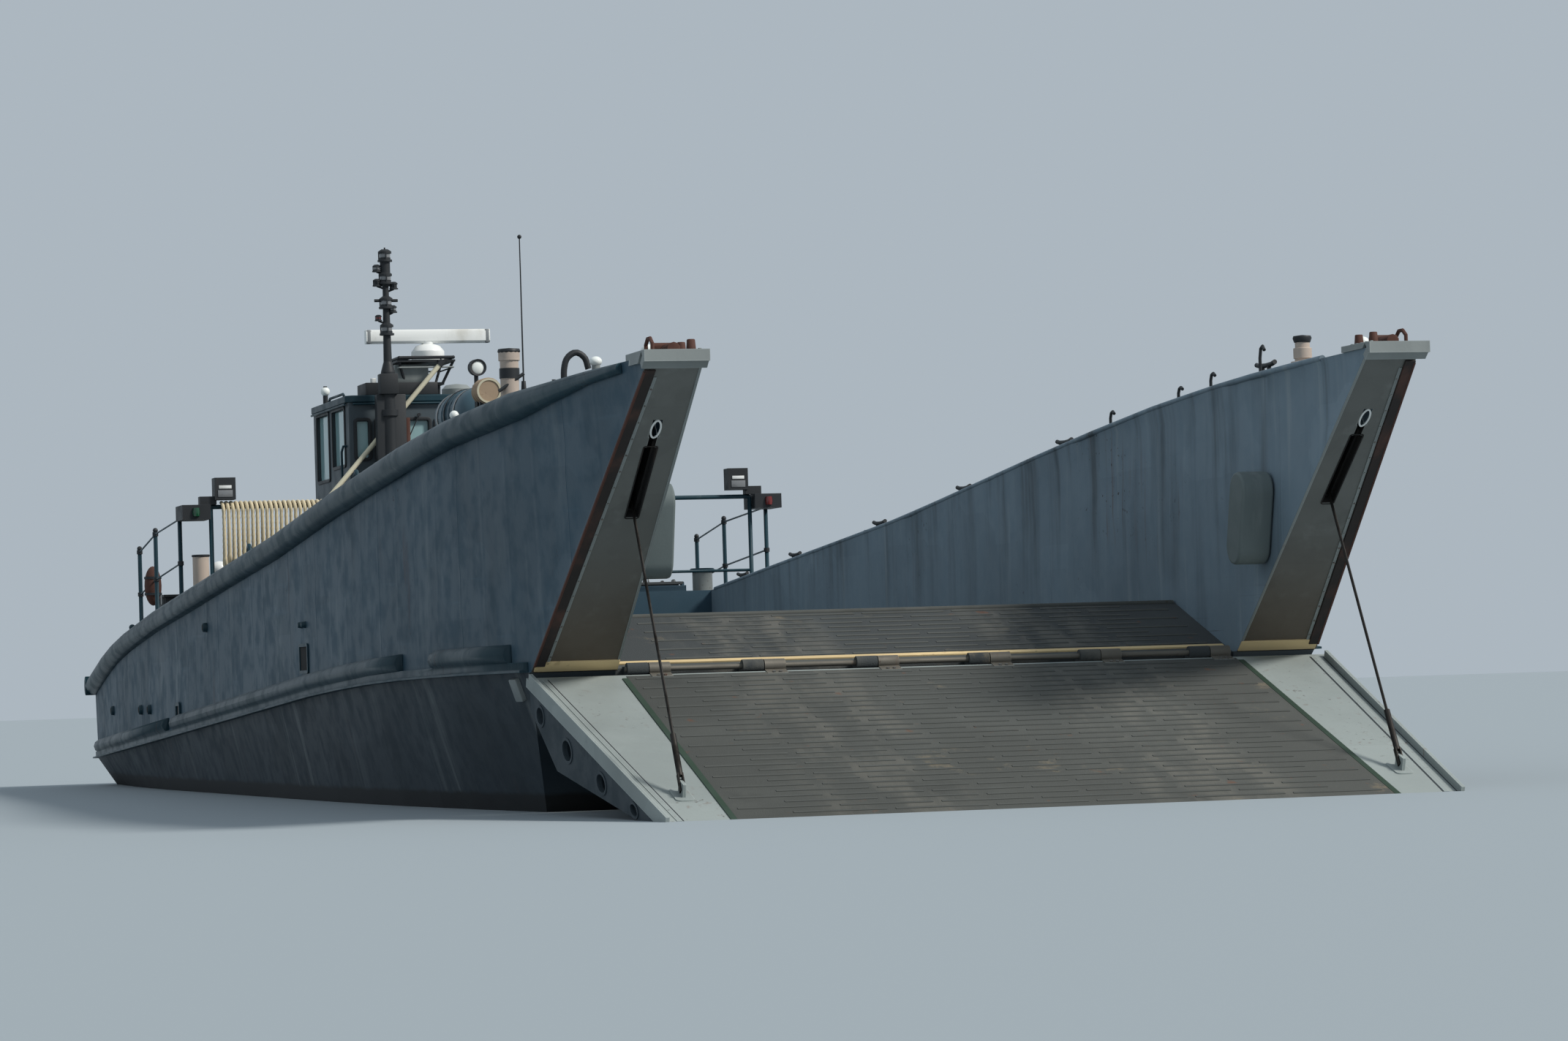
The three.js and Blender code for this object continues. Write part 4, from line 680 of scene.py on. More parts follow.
def merged(node):
    shape = bmesh.new()
    shape.from_mesh(frame["nodes"][node].data)
    bmesh.ops.remove_doubles(shape, verts=shape.verts, dist=2e-5)
    bmesh.ops.dissolve_limit(
        shape, angle_limit=math.radians(0.5), verts=shape.verts, edges=shape.edges, delimit=set(),
    )
    return shape


# The node's own shape with rounded edges and a finish; rule picks a paint for each face
def dressed(node, paints, edge=0.004, smooth=CREASE, rule=None):
    shape = merged(node)
    for face in shape.faces:
        face.material_index = rule(face) if rule else 0
    return shown(node + "_dressed", shape, paints, bodies_of[node], edge, smooth, (node,))


trees = {}


def surface(node, start, direction):
    """Where a ray from a point first meets a CAD node."""
    if node not in trees:
        data = frame["nodes"][node].data
        trees[node] = BVHTree.FromPolygons(
            [point.co for point in data.vertices], [tuple(face.vertices) for face in data.polygons],
        )
    hit = trees[node].ray_cast(Vector(start), Vector(direction))[0]
    if hit is None:
        raise ValueError(f"no {node} from {tuple(start)} towards {tuple(direction)}")
    return hit


# Node of the hull above the knuckle at a place, where y may be a side
def hull_node(x, y):
    if x <= WELL_AFT:
        return "after_body"
    return "wing_port" if y > 0 else "wing_starboard"


def deck_height(x, y):
    return surface(hull_node(x, y), (x, y, CLEAR_ABOVE), (0, 0, -1)).z


def flank(side, x, z, node=None):
    return surface(node or hull_node(x, side), (x, side * CLEAR_BESIDE, z), (0, -side, 0)).y


# Rope

ROPE_DIAMETER = 0.036
ROPE_BEND = 0.08
ROPE_TURNS = 26
ROPE_PITCH = 0.0459
ROPE_DROP = 0.56
ROPE_START = -2.56
ROPE_SLACK = 0.05
ROPE_SWAY = 0.007
ROPE_STRANDS = 3
ROPE_LAY = 0.3
ROPE_ARC_STEPS = 10
ROPE_LEG_STEPS = 8


# Points of a bend about a height, as (x, z), clockwise from an angle
def rope_bend(height, start, sweep, steps):
    angles = [start - step / steps * sweep for step in range(steps)]
    return [(ROPE_BEND * math.cos(angle), height + ROPE_BEND * math.sin(angle)) for angle in angles]


def rope_leg(x, start, stop):
    return [(x, start + (stop - start) * step / ROPE_LEG_STEPS) for step in range(ROPE_LEG_STEPS)]


def rope_route():
    draw = random.Random(11)
    crown = GUARD_RAIL_Z + RAIL_TUBE + 0.0003 - (ROPE_BEND - ROPE_DIAMETER / 2)
    lowest = crown - ROPE_DROP + ROPE_BEND + ROPE_DIAMETER / 2
    route = []
    for turn in range(ROPE_TURNS):
        bottom = lowest + ROPE_SLACK * draw.random() ** 2
        sway = ROPE_SWAY * (draw.random() - 0.5)
        start_y = ROPE_START + (turn + 0.25) * ROPE_PITCH
        loop = rope_bend(crown, math.pi / 2, math.pi / 2, ROPE_ARC_STEPS)
        loop += rope_leg(ROPE_BEND, crown, bottom)
        loop += rope_bend(bottom, 0.0, math.pi, ROPE_ARC_STEPS * 2)
        loop += rope_leg(-ROPE_BEND, bottom, crown)
        loop += rope_bend(crown, math.pi, math.pi / 2, ROPE_ARC_STEPS)
        for index, (x, z) in enumerate(loop):
            share = index / len(loop)
            hang = math.sin(math.pi * share) ** 2
            route.append(Vector((GUARD_RAIL_X + x, start_y + share * ROPE_PITCH + sway * hang, z)))
    return route


def rope():
    route = rope_route()
    work = Work("rope")
    work.swept(route, ROPE_DIAMETER / 2, sides=9, lobes=ROPE_STRANDS, lay=ROPE_LAY)
    line = work.done("mooring_rope", smooth=80, replaces=("rope_hank",))


# Hull plating

# Cuts a mesh into strips across an axis, so that its plates can be dented
def strips(shape, axis, start, stop, step):
    direction = Vector((0, 0, 0))
    direction[axis] = 1
    place = start
    while place < stop:
        bmesh.ops.bisect_plane(
            shape, geom=shape.verts[:] + shape.edges[:] + shape.faces[:], dist=1e-5,
            plane_co=direction * place, plane_no=direction,
        )
        place += step


def dent(point):
    """Depth of the dents at a point of the plating."""
    broad = max(0.0, noise.noise(Vector((point.x * 0.55, point.y, point.z * 1.3))))
    crease = max(0.0, noise.noise(Vector((point.x * 0.35 + 7, point.y, point.z * 4.0))) - 0.1)
    bay = math.sin(point.x / 0.6 * math.pi) ** 2
    wave = 0.5 + 0.5 * noise.noise(Vector((point.x * 1.7 + 3, point.y, point.z * 2.0)))
    bow = max(0.0, min(1.0, (point.x - 3.0) / 3.0)) * max(0.0, min(1.0, (point.z - 1.9) / 0.5))
    return 0.012 * broad + 0.012 * crease + 0.0025 * bay + 0.022 * wave * bow


# The node's own shape, cut at a spacing and dented by an amount; rule picks a paint for each face
def plated(node, paints, rule, spacing, amount):
    shape = merged(node)
    low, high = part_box(node)
    strips(shape, 0, low.x + spacing / 2, high.x, spacing)
    strips(shape, 2, low.z + spacing / 2, high.z, spacing)
    for point in shape.verts:
        sides = [face.normal.y for face in point.link_faces]
        if sides and all(abs(value) > 0.9 for value in sides) and min(sides) * max(sides) > 0:
            point.co.y -= math.copysign(dent(point.co) * amount, sides[0])
    shape.normal_update()
    for face in shape.faces:
        face.material_index = rule(face)
    return shown(node + "_plating", shape, paints, bodies_of[node], 0.004, CREASE, (node,))


def hull():
    onto_face = FACE_FRAME.inverted()
    wing_paints = ["hull", "deck", "well_wall", "bow_face", "white", "black_and_shade"]
    # Pocket of the pad-eye and slot of the wire as (middle, half length, half width, depth) on the bow face
    pocket = (PAD_EYE_X, 0.087, 0.034, math.inf)
    slot = (SLOT_MIDDLE, 0.37, 0.06, 0.35)

    def inside(local, opening):
        middle, half_length, half_width, depth = opening
        across = abs(abs(local.y) - PAD_EYE_Y)
        return abs(local.x - middle) < half_length and across < half_width and 0.001 < local.z < depth

    def wing_rule(face):
        middle = face.calc_center_median()
        local = onto_face @ middle
        ahead = face.normal.x
        paint = "hull"
        if inside(local, pocket):
            paint = "white"
        # Faces inside the wire's slot are painted black: painted shade of the deep slot
        elif inside(local, slot):
            paint = "black_and_shade"
        elif face.normal.z > 0.8:
            paint = "deck"
        elif ahead > 0.3 or (ahead > -0.1 and middle.x > 8.7 and abs(face.normal.y) < 0.5):
            paint = "bow_face"
        elif face.normal.y * middle.y < -0.5:
            paint = "well_wall"
        return wing_paints.index(paint)

    for name, _ in SIDES:
        plated(f"wing_{name}", wing_paints, wing_rule, 0.2, 1.0)
        dressed(f"sheer_rail_{name}", ["rail"], edge=0.0, smooth=50)
        dressed(f"knuckle_rail_{name}", ["rail"], edge=0.0, smooth=42)
    plated("after_body", ["hull", "deck"], lambda face: 1 if face.normal.z > 0.8 else 0, 0.25, 0.8)
    plated("lower_hull", ["lower"], lambda face: 0, 0.3, 0.8)
    dressed("stern_rail", ["rail"], edge=0.0, smooth=50)
    dressed("well_deck", ["well_grit"], edge=0.006)


# Frame whose X climbs a slope from start to end and whose Z stands off it
def on_slope(start, end):
    along = (Vector(end) - Vector(start)).normalized()
    out = Vector((-along.z, 0, along.x)) if along.x > 0 else Vector((along.z, 0, -along.x))
    across = out.cross(along)
    turn = Matrix((along, across, out)).transposed().to_4x4()
    return Matrix.Translation(start) @ turn


# Frame on an upright wall: X along it, Y up, Z out
def upright(point, out):
    out = Vector(out)
    up = Vector((0, 0, 1))
    turn = Matrix((up.cross(out), up, out)).transposed().to_4x4()
    return Matrix.Translation(point) @ turn


# Rows of short bars laid like bricks, in the frame's XY
def cleats(work, start, stop, half):
    pitch = 0.1
    length = 0.6
    space = 0.66
    height = 0.004
    row = 0
    x = start
    while x < stop:
        y = -half + (space / 2 if row % 2 else 0.0)
        while y + length < half:
            work.block((x, y, -SUNK), (x + 0.024, y + length, height))
            y += space
        x += pitch
        row += 1


# Bolt heads in a row between two points
def bolts(work, start, end, count, radius=0.011, height=0.009, out=(0, 0, 1)):
    start, end, out = Vector(start), Vector(end), Vector(out)
    for index in range(count):
        point = start.lerp(end, (index + 0.5) / count)
        work.rod(point - out * SUNK, point + out * height, radius, 6)


# Bolt heads round an oval plate, in the frame's XY
def oval_bolts(work, reach_x, reach_y, foot, top, count):
    for index in range(count):
        angle = index / count * math.tau
        x, y = reach_x * math.cos(angle), reach_y * math.sin(angle)
        work.rod((x, y, foot), (x, y, top), 0.009, 6)


# Round handle: a bar bent out from a surface and back
def grab(work, start, end, reach, radius=0.011, sides=8):
    start, end, reach = Vector(start), Vector(end), Vector(reach)
    along = (end - start) * 0.12
    work.swept(
        [start, start + reach * 0.7, start + reach + along * 0.5, start + reach + along,
         end + reach - along, end + reach - along * 0.5, end + reach * 0.7, end], radius, sides,
    )


# Lifting eye or lashing ring on its pad
def lashing_ring(work, place, radius=0.045):
    work.at(place)
    work.plate(radius * 1.7, radius * 1.2, 0.008, corner=0.012)
    angles = [math.tau * step / 12 - math.pi / 2 for step in range(13)]
    ring = [(radius * math.cos(angle), 0.0, radius * 0.9 + radius * math.sin(angle)) for angle in angles]
    work.swept(ring, 0.008, 6)
    work.at(Matrix.Identity(4))


def well():
    work = Work("cleat")
    sill = Vector((HINGE.x - 0.08, 0, HINGE.z))
    foot = Vector((APRON_FOOT, 0, WELL_FLOOR))
    work.at(on_slope(sill, CREST))
    cleats(work, 0.2, (CREST - sill).length - 0.06, 2.1)
    work.at(on_slope(foot, CREST))
    cleats(work, 0.1, (CREST - foot).length - 0.08, 2.1)
    work.done("apron_cleats")

    crest = Work("cleat")
    crest.rod((CREST.x, -2.2, CREST.z - 0.004), (CREST.x, 2.2, CREST.z - 0.004), 0.022, 12)
    crest.at(on_slope(sill, CREST))
    crest.plate(0.07, 4.38, 0.006, local=Matrix.Translation((0.045, 0, 0)))
    crest.use("sill").block((0.1, -LAID_HALF, -SUNK), (0.15, LAID_HALF, 0.012), 0.002)
    crest.done("apron_edge_bars")

    pots = Work("cleat")
    for x in (-4.6, -3.2, -1.8, -0.4, 1.0, 2.4, 3.8, 5.2):
        for y in (-1.75, -0.65, 0.65, 1.75):
            pots.at(placed(x, y, WELL_FLOOR))
            pots.use("cleat").plate(0.19, 0.19, 0.006, rim=0.026, oval=20)
            # Dark disc inside the ring: painted shade of the pot's hollow
            pots.use("dark").plate(0.15, 0.15, 0.0025, oval=20)
            pots.use("steel").rod((-0.062, 0, 0.004), (0.062, 0, 0.004), 0.008, 8)
            pots.rod((0, -0.062, 0.004), (0, 0.062, 0.004), 0.008, 8)
    pots.at(Matrix.Identity(4))
    pots.done("lashing_pots")

    floor = Work("well_grit")
    for x in (-3.9, -1.1, 1.7, 4.5):
        low, high = (x - 0.03, -LAID_HALF, WELL_FLOOR - SUNK), (x + 0.03, LAID_HALF, WELL_FLOOR + 0.004)
        floor.use("cleat").block(low, high, 0.001)
    for side in (-1, 1):
        y = side * 2.185
        gutter = ((-5.2, y, WELL_FLOOR - SUNK), (6.4, y - side * 0.05, WELL_FLOOR + 0.003))
        floor.use("dark").block(*gutter)
        for x in (-5.0, -2.5, 0.0, 2.5, 5.0):
            floor.use("cleat").at(placed(x, side * 2.08, WELL_FLOOR))
            floor.plate(0.3, 0.12, 0.008, corner=0.02, rim=0.014)
            for bar in range(6):
                floor.block((-0.13 + bar * 0.045, -0.05, 0.0), (-0.118 + bar * 0.045, 0.05, 0.007))
            floor.at(Matrix.Identity(4))
    floor.done("well_floor_strips")

    walls = Work("well_wall")
    for name, side in SIDES:
        wall = side * WELL_HALF
        inward = Vector((0, -side, 0))
        for x in (-4.4, -2.9, -1.4, 0.1, 1.6, 3.1, 4.6, 6.1):
            walls.use("steel")
            lashing_ring(walls, facing((x, wall, 1.28), inward))
        walls.use("well_wall")
        places = [-5.2 + 0.65 * step for step in range(25)]
        edge = [(x, wall + side * 0.016, deck_height(x, side * 2.3) + 0.002) for x in places]
        walls.swept(edge, 0.022, 10)
    walls.use("steel")
    face = WELL_AFT - 0.005
    rung_y = -1.62
    for rung in range(4):
        z = 0.92 + 0.23 * rung
        grab(walls, (face, rung_y - 0.19, z), (face, rung_y + 0.19, z), (0.11, 0, 0), 0.012)
    for y in (-0.7, 0.7):
        walls.use("well_wall").at(facing((WELL_AFT - 0.001, y, 1.2), (1, 0, 0)))
        walls.plate(0.46, 0.62, 0.012, corner=0.07)
        oval_bolts(walls.use("steel"), 0.265, 0.19, 0.012, 0.02, 16)
        walls.at(Matrix.Identity(4))
    walls.use("dark")
    walls.rod((WELL_AFT - 0.01, 0, 0.86), (WELL_AFT + 0.05, 0, 0.86), 0.055, 16, edge=0.006)
    walls.rod((WELL_AFT - 0.01, 1.6, 0.86), (WELL_AFT + 0.05, 1.6, 0.86), 0.04, 16, edge=0.006)
    walls.done("well_wall_fittings")


# Oval holes of the ramp's side webs as (x, z, half length, half height)
WEB_HOLES = (
    (0.365, -0.185, 0.075, 0.055), (0.965, -0.225, 0.095, 0.065), (1.69, -0.2, 0.09, 0.055),
    (2.35, -0.15, 0.07, 0.034),
)
# Lines along each edge of the ramp as (inset, width, height, paint); the thin dark ones either side of the
# raised bar are painted shade at its foot
EDGE_LINES = ((0.035, 0.008, 0.001, "dark"), (0.105, 0.035, 0.004, "ramp"), (0.13, 0.008, 0.001, "dark"))


def ramp_half(x):
    return FACE_FOOT_HALF + 0.05 - FACE_TAPER * x


def ramp():
    inward = RAMP_FRAME.inverted()

    def rule(face):
        middle = inward @ face.calc_center_median()
        if middle.x > RAMP_LENGTH - 0.03 or middle.x < 0.09:
            return 1
        return 2 if face.normal.z < -0.4 or middle.z < -0.085 else 0

    dressed("ramp", ["ramp", "hinge", "web"], rule=rule)
    dressed("ramp_hinge_pin", ["hinge"], edge=0.002)
    for name, _ in SIDES:
        dressed(f"hoist_wire_{name}", ["wire"], edge=0.001, smooth=50)

    grit = RAMP_TOP + 0.004
    work = Work("ramp_grit").at(RAMP_FRAME)
    work.block((0.09, -2.17, RAMP_TOP - SUNK), (2.98, 2.17, grit), 0.001)
    work.at(RAMP_FRAME @ Matrix.Translation((0, 0, grit)))
    work.use("cleat")
    cleats(work, 0.15, 2.92, 2.12)
    work.at(RAMP_FRAME).use("line")
    for side in (-1, 1):
        y = side * LAID_HALF
        work.block((0.14, y - 0.02, RAMP_TOP - SUNK), (2.99, y + 0.02, grit + 0.002))
    work.done("ramp_driving_surface", "ramp")

    bars = Work("ramp")
    for side in (-1, 1):
        taper = Matrix.Rotation(-side * math.atan(FACE_TAPER), 4, "Z")
        bars.at(RAMP_FRAME @ Matrix.Translation((0, side * ramp_half(0), 0)) @ taper)
        # The thin dark lines are painted shade beside the raised bar
        for offset, width, height, paint in EDGE_LINES:
            near, far = -side * (offset - width / 2), -side * (offset + width / 2)
            bars.use(paint).block((0.12, near, RAMP_TOP - 0.001), (2.95, far, RAMP_TOP + height))
        web = RAMP_FRAME @ Matrix.Translation((0, side * (ramp_half(0) - 0.025), 0)) @ taper
        bars.use("web")
        for x, z, half_x, half_z in WEB_HOLES:
            for face in (-1, 1):
                standing = Matrix.Rotation(-face * math.pi / 2, 4, "X")
                bars.at(web @ Matrix.Translation((x, face * 0.0105, z)) @ standing)
                bars.plate(half_x * 2 + 0.035, half_z * 2 + 0.035, 0.007, rim=0.0175, oval=24)
        bars.at(RAMP_FRAME @ Matrix.Translation((PAD_EYE_X, side * PAD_EYE_Y, RAMP_TOP)))
        bars.use("ramp").plate(0.22, 0.12, 0.008, corner=0.03)
    bars.at(RAMP_FRAME).use("steel")
    for y in (-2.0, -1.2, -0.4, 0.4, 1.2, 2.0):
        bolts(bars, (0.1, y + 0.03, RAMP_TOP + 0.004), (0.1, y + 0.12, RAMP_TOP + 0.004), 2, 0.012, 0.01)
    bars.done("ramp_bars", "ramp")


# The fairlead on a bow cap stands above the cap's plate
def cap_rule(face):
    middle = face.calc_center_median()
    return 1 if middle.z > 2.906 and middle.x < 11.25 else 0


def bow():
    for name, side in SIDES:
        dressed(f"bow_seal_{name}", ["rubber"], edge=0.005)
        dressed(f"bow_cap_{name}", ["light", "chock"], rule=cap_rule)
        dressed(f"sheave_housing_{name}", ["housing"], edge=0.02, smooth=50)
        work = Work("light")
        strip = FACE_FRAME @ Matrix.Translation((0, side * FACE_FOOT_HALF, 0))
        work.at(strip @ Matrix.Rotation(-side * math.atan(FACE_TAPER), 4, "Z"))
        work.block((0.09, -side * 0.079, -0.006), (2.98, -side * 0.1, 0.001), 0.001)
        work.use("steel")
        bolts(work, (0.1, -side * 0.09, -0.006), (2.95, -side * 0.09, -0.006), 18, 0.007, 0.005, (0, 0, -1))
        work.use("chock").block((0.07, side * 0.002, -0.016), (3.03, -side * 0.012, 0.002), 0.002)
        work.at(FACE_FRAME).use("light")
        near, far = side * (WELL_HALF + 0.001), side * (WELL_HALF + 0.018)
        work.block((0.03, near, -0.004), (FACE_LENGTH - 0.09, far, 0.002), 0.001)
        outward = Matrix.Rotation(math.pi, 4, "X")
        work.use("white").at(FACE_FRAME @ Matrix.Translation((PAD_EYE_X, side * PAD_EYE_Y, 0)) @ outward)
        work.plate(0.174, 0.072, 0.006, rim=0.0115, oval=28)
        # Thin black ring round the wire's slot: painted shade at its lip
        work.use("black_and_shade").at(FACE_FRAME @ Matrix.Translation((SLOT_MIDDLE, side * PAD_EYE_Y, 0)) @ outward)
        work.plate(0.72, 0.1, 0.003, corner=0.02, rim=0.008)
        work.at(FACE_FRAME).use("sill")
        near, far = side * 2.212, side * 2.785
        work.block((0.012, near, -0.009), (0.115, far, 0.002), 0.003)
        # Black strip at the very foot of the face: painted shade in the crease against the ramp
        work.use("black_and_shade").block((0.0, near, -0.006), (0.014, far, 0.002))
        work.done(f"bow_face_{name}_fittings")

        top = Work("chock")
        z = FACE_TOP.z + 0.034
        y = side * 2.28
        for x in (10.9, 11.14):
            top.rod((x, y, z), (x, y, z + 0.07), 0.032, 14, 0.026, edge=0.004)
        y = side * 2.52
        eye_bar = ((10.95, 0), (10.95, 0.05), (11.0, 0.085), (11.06, 0.085), (11.11, 0.05), (11.11, 0))
        top.swept([(x, y, z + rise) for x, rise in eye_bar], 0.013, 8)
        top.use("light")
        bolts(top, (10.84, side * 2.24, z), (11.24, side * 2.24, z), 5, 0.012, 0.01)
        x, y, foot = 10.62, side * 2.42, 2.85
        top.rod((x, y, foot), (x, y, 2.93), 0.03, 12)
        top.use("lamp_white").ball((x, y, 2.945), 0.05, 18, (1, 1, 0.8))
        top.use("dark").rod((x, y, foot), (x, y, 2.875), 0.055, 16, edge=0.004)
        top.done(f"bow_top_{name}_fittings")


# Openings, outlets and pads on the outside of the hull
def side_fittings():
    for name, side in SIDES:
        work = Work("rail")

        def on_side(x, z, node=None):
            y = flank(side, x, z, node)
            above = flank(side, x, z + 0.05, node)
            ahead = flank(side, x + 0.05, z, node)
            out = Vector(((y - ahead) * side, side * 0.05, (y - above) * side)).normalized()
            return Matrix.Translation((x, y, z)) @ out.to_track_quat("Z", "Y").to_matrix().to_4x4()

        work.at(on_side(1.85, 1.15))
        work.plate(0.37, 0.24, 0.012, corner=0.03, rim=0.025)
        # Black plate inside the frame: painted shade of the opening
        work.use("black_and_shade").plate(0.33, 0.2, 0.003, corner=0.02)
        work.use("rail")
        for x in (1.78, 1.93):
            work.at(on_side(x, 1.42))
            work.rod((0, 0, -0.01), (0, 0, 0.035), 0.03, 14, 0.022, edge=0.004)
        work.at(on_side(-4.76, 0.74))
        work.plate(0.24, 0.2, 0.02, corner=0.04, rim=0.035)
        # Black plate inside the frame: painted shade of the opening
        work.use("black_and_shade").plate(0.2, 0.16, 0.004, corner=0.03)
        work.use("rail").at(on_side(-3.0, 1.5))
        work.rod((0, 0, -0.01), (0, 0, 0.04), 0.045, 16, 0.04, edge=0.005)
        # Black disc in the outlet: painted shade of its hole
        work.use("black_and_shade").rod((0, 0, 0.03), (0, 0, 0.0415), 0.028, 16)
        for x in (-7.2, -6.6, -9.4):
            work.use("rail").at(on_side(x, 0.78))
            work.rod((0, 0, -0.01), (0, 0, 0.03), 0.05, 18, 0.046, edge=0.005)
            # Black disc in the outlet: painted shade of its hole
            work.use("black_and_shade").rod((0, 0, 0.02), (0, 0, 0.0315), 0.033, 18)
        work.use("light").at(on_side(8.32, 0.84, "lower_hull"))
        work.plate(0.15, 0.16, 0.03, corner=0.015, edge=0.006)
        work.at(Matrix.Identity(4))
        work.done(f"side_fittings_{name}")


# Rounded ring set on a wall round a window, and a second ring set back into the opening
def window(work, place, width, height):
    work.at(place).use("dark")
    work.plate(width + 0.05, height + 0.05, 0.014, corner=0.045, rim=0.033, edge=0.004)
    inner = Matrix.Translation((0, 0, -0.04))
    work.plate(width + 0.02, height + 0.02, 0.022, corner=0.03, rim=0.02, local=inner)


def pilothouse():
    inner_y = HOUSE_HALF - HOUSE_WALL + 0.003

    def wall_rule(face):
        middle = face.calc_center_median()
        inside = abs(middle.y) < inner_y and HOUSE_AFT + 0.057 < middle.x < HOUSE_FRONT - 0.057
        return 1 if inside else 0

    dressed("pilothouse_walls", ["house", "light"], rule=wall_rule)
    dressed("pilothouse_roof", ["rail"], edge=0.012)
    dressed("pilothouse_door", ["house"], edge=0.003)

    frames = Work("dark")
    panes = Work("glass")
    openings = []
    for side in (-1, 1):
        for x0, x1, sill in SIDE_PANES:
            middle = ((x0 + x1) / 2, side * HOUSE_HALF, (sill + SIDE_PANE_TOP) / 2)
            openings.append((middle, (0, side, 0), x1 - x0, SIDE_PANE_TOP - sill))
    front_z = (FRONT_PANE_LOW + FRONT_PANE_HIGH) / 2
    front_height = FRONT_PANE_HIGH - FRONT_PANE_LOW
    for y0, y1 in FRONT_PANES:
        openings.append(((HOUSE_FRONT, (y0 + y1) / 2, front_z), (1, 0, 0), y1 - y0, front_height))
    openings.append(((HOUSE_AFT, AFTER_PANE_Y, front_z), (-1, 0, 0), 0.65, front_height))
    for middle, out, width, height in openings:
        place = upright(middle, out)
        window(frames, place, width, height)
        panes.at(place)
        set_back = Matrix.Translation((0, 0, -0.032))
        panes.plate(width + 0.004, height + 0.004, 0.008, corner=0.02, local=set_back)
        if out == (1, 0, 0) and width > 0.2:
            frames.at(place)
            pivot = Vector((width * 0.3, height / 2 + 0.045, 0.02))
            frames.rod(pivot, pivot + Vector((0, 0, 0.025)), 0.018, 10)
            frames.rod(pivot + Vector((0, 0, 0.016)), (0.02, -0.06, 0.03), 0.006, 8)
            frames.rod((-0.03, -0.15, 0.026), (0.06, 0.1, 0.026), 0.008, 6)
    frames.at(Matrix.Identity(4)).done("window_frames")
    panes.at(Matrix.Identity(4)).done("window_panes")

    door = Work("glass").at(upright((HOUSE_AFT - 0.025, DOOR_Y, DOOR_MIDDLE_Z + 0.58), (-1, 0, 0)))
    door.plate(0.404, 0.304, 0.006, corner=0.02)
    proud = Matrix.Translation((0, 0, 0.012))
    door.use("dark").plate(0.46, 0.36, 0.01, corner=0.05, rim=0.04, local=proud)
    door.at(Matrix.Identity(4))
    face = HOUSE_AFT - 0.037
    for z in (1.95, DOOR_MIDDLE_Z, 3.3):
        door.rod((face, DOOR_HINGE_Y, z), (face - 0.03, DOOR_HINGE_Y, z), 0.016, 12)
        door.rod((face - 0.022, DOOR_HINGE_Y, z), (face - 0.022, DOOR_HINGE_Y + 0.09, z - 0.05), 0.008, 8)
    door.use("light").at(upright((face, DOOR_Y, 2.05), (-1, 0, 0)))
    door.plate(0.5, 0.36, 0.006, corner=0.04, rim=0.03)
    door.at(Matrix.Identity(4)).done("door_fittings", "pilothouse_door")

    trim = Work("rail")
    overhang = 0.028
    round_corner = 0.07
    z = HOUSE_TOP - 0.014
    aft, front = HOUSE_AFT - overhang, HOUSE_FRONT + overhang
    half = HOUSE_HALF + overhang
    for side in (-1, 1):
        y = side * half
        trim.rod((aft + round_corner, y, z), (front - round_corner, y, z), 0.011, 8)
    for x in (aft, front):
        trim.rod((x, -half + round_corner, z), (x, half - round_corner, z), 0.011, 8)
    for side in (-1, 1):
        y, z = side * 0.98, ROOF_TOP - SUNK
        grab(trim, (-8.1, y, z), (-7.3, y, z), (0, 0, 0.075), 0.014)
    for x, y, lift in ((-8.2, -1.0, 0.155), (-8.2, 1.0, 0.085), (-6.58, 1.0, 0.085)):
        stalk_top = ROOF_TOP + lift - 0.035
        trim.use("dark").rod((x, y, ROOF_TOP - 0.005), (x, y, stalk_top), 0.026, 14, edge=0.003)
        trim.use("lamp_white").ball((x, y, ROOF_TOP + lift), 0.048, 18)
        trim.use("dark").rod((x, y, ROOF_TOP + lift + 0.04), (x, y, ROOF_TOP + lift + 0.055), 0.02, 12)
    # Small round aerial near the front starboard corner of the roof
    x, y = -6.58, -0.82
    trim.rod((x, y, ROOF_TOP - 0.005), (x, y, ROOF_TOP + 0.06), 0.02, 12)
    trim.use("white").rod((x, y, ROOF_TOP + 0.055), (x, y, ROOF_TOP + 0.175), 0.03, 20, edge=0.008)
    trim.use("dark").rod((x, y, ROOF_TOP + 0.05), (x, y, ROOF_TOP + 0.062), 0.034, 20)
    # Ventilator on its pad, and the grille in the after wall
    trim.use("light").at(placed(-7.7, 0.25, ROOF_TOP))
    trim.plate(0.5, 0.42, 0.03, corner=0.05, edge=0.008)
    trim.turned([(0, 0.03), (0.13, 0.03), (0.15, 0.07), (0.15, 0.13), (0.11, 0.17), (0, 0.185)], 24)
    trim.use("dark").at(upright((HOUSE_AFT, AFTER_PANE_Y, DOOR_MIDDLE_Z), (-1, 0, 0)))
    for slat in range(7):
        trim.block((-0.2, -0.15 + slat * 0.045, 0.0), (0.2, -0.128 + slat * 0.045, 0.016), 0.003)
    trim.use("rail").plate(0.46, 0.38, 0.02, corner=0.03, rim=0.025, edge=0.004)
    trim.at(Matrix.Identity(4))
    wall = HOUSE_HALF - 0.005
    for rung in range(5):
        z = 1.95 + 0.28 * rung
        grab(trim, (-8.02, wall, z), (-7.7, wall, z), (0, 0.075, 0), 0.011)
    for side in (-1, 1):
        x, y = HOUSE_FRONT - 0.13, side * wall
        grab(trim, (x, y, 2.35), (x, y, 3.3), (0, side * 0.06, 0), 0.012)
    low_z = deck_height(-7.4, 1.2)
    half = HOUSE_HALF + 0.012
    for x in (HOUSE_AFT, HOUSE_FRONT):
        trim.block((x - 0.03, -half, low_z - 0.05), (x + 0.03, half, deck_height(x, 1.2) + 0.06), 0.006)
    trim.done("pilothouse_trim")


SEAT_X = -7.55
SEAT_PAN_Z = 2.272
# How far a pad's faces swell
CROWN = 0.012


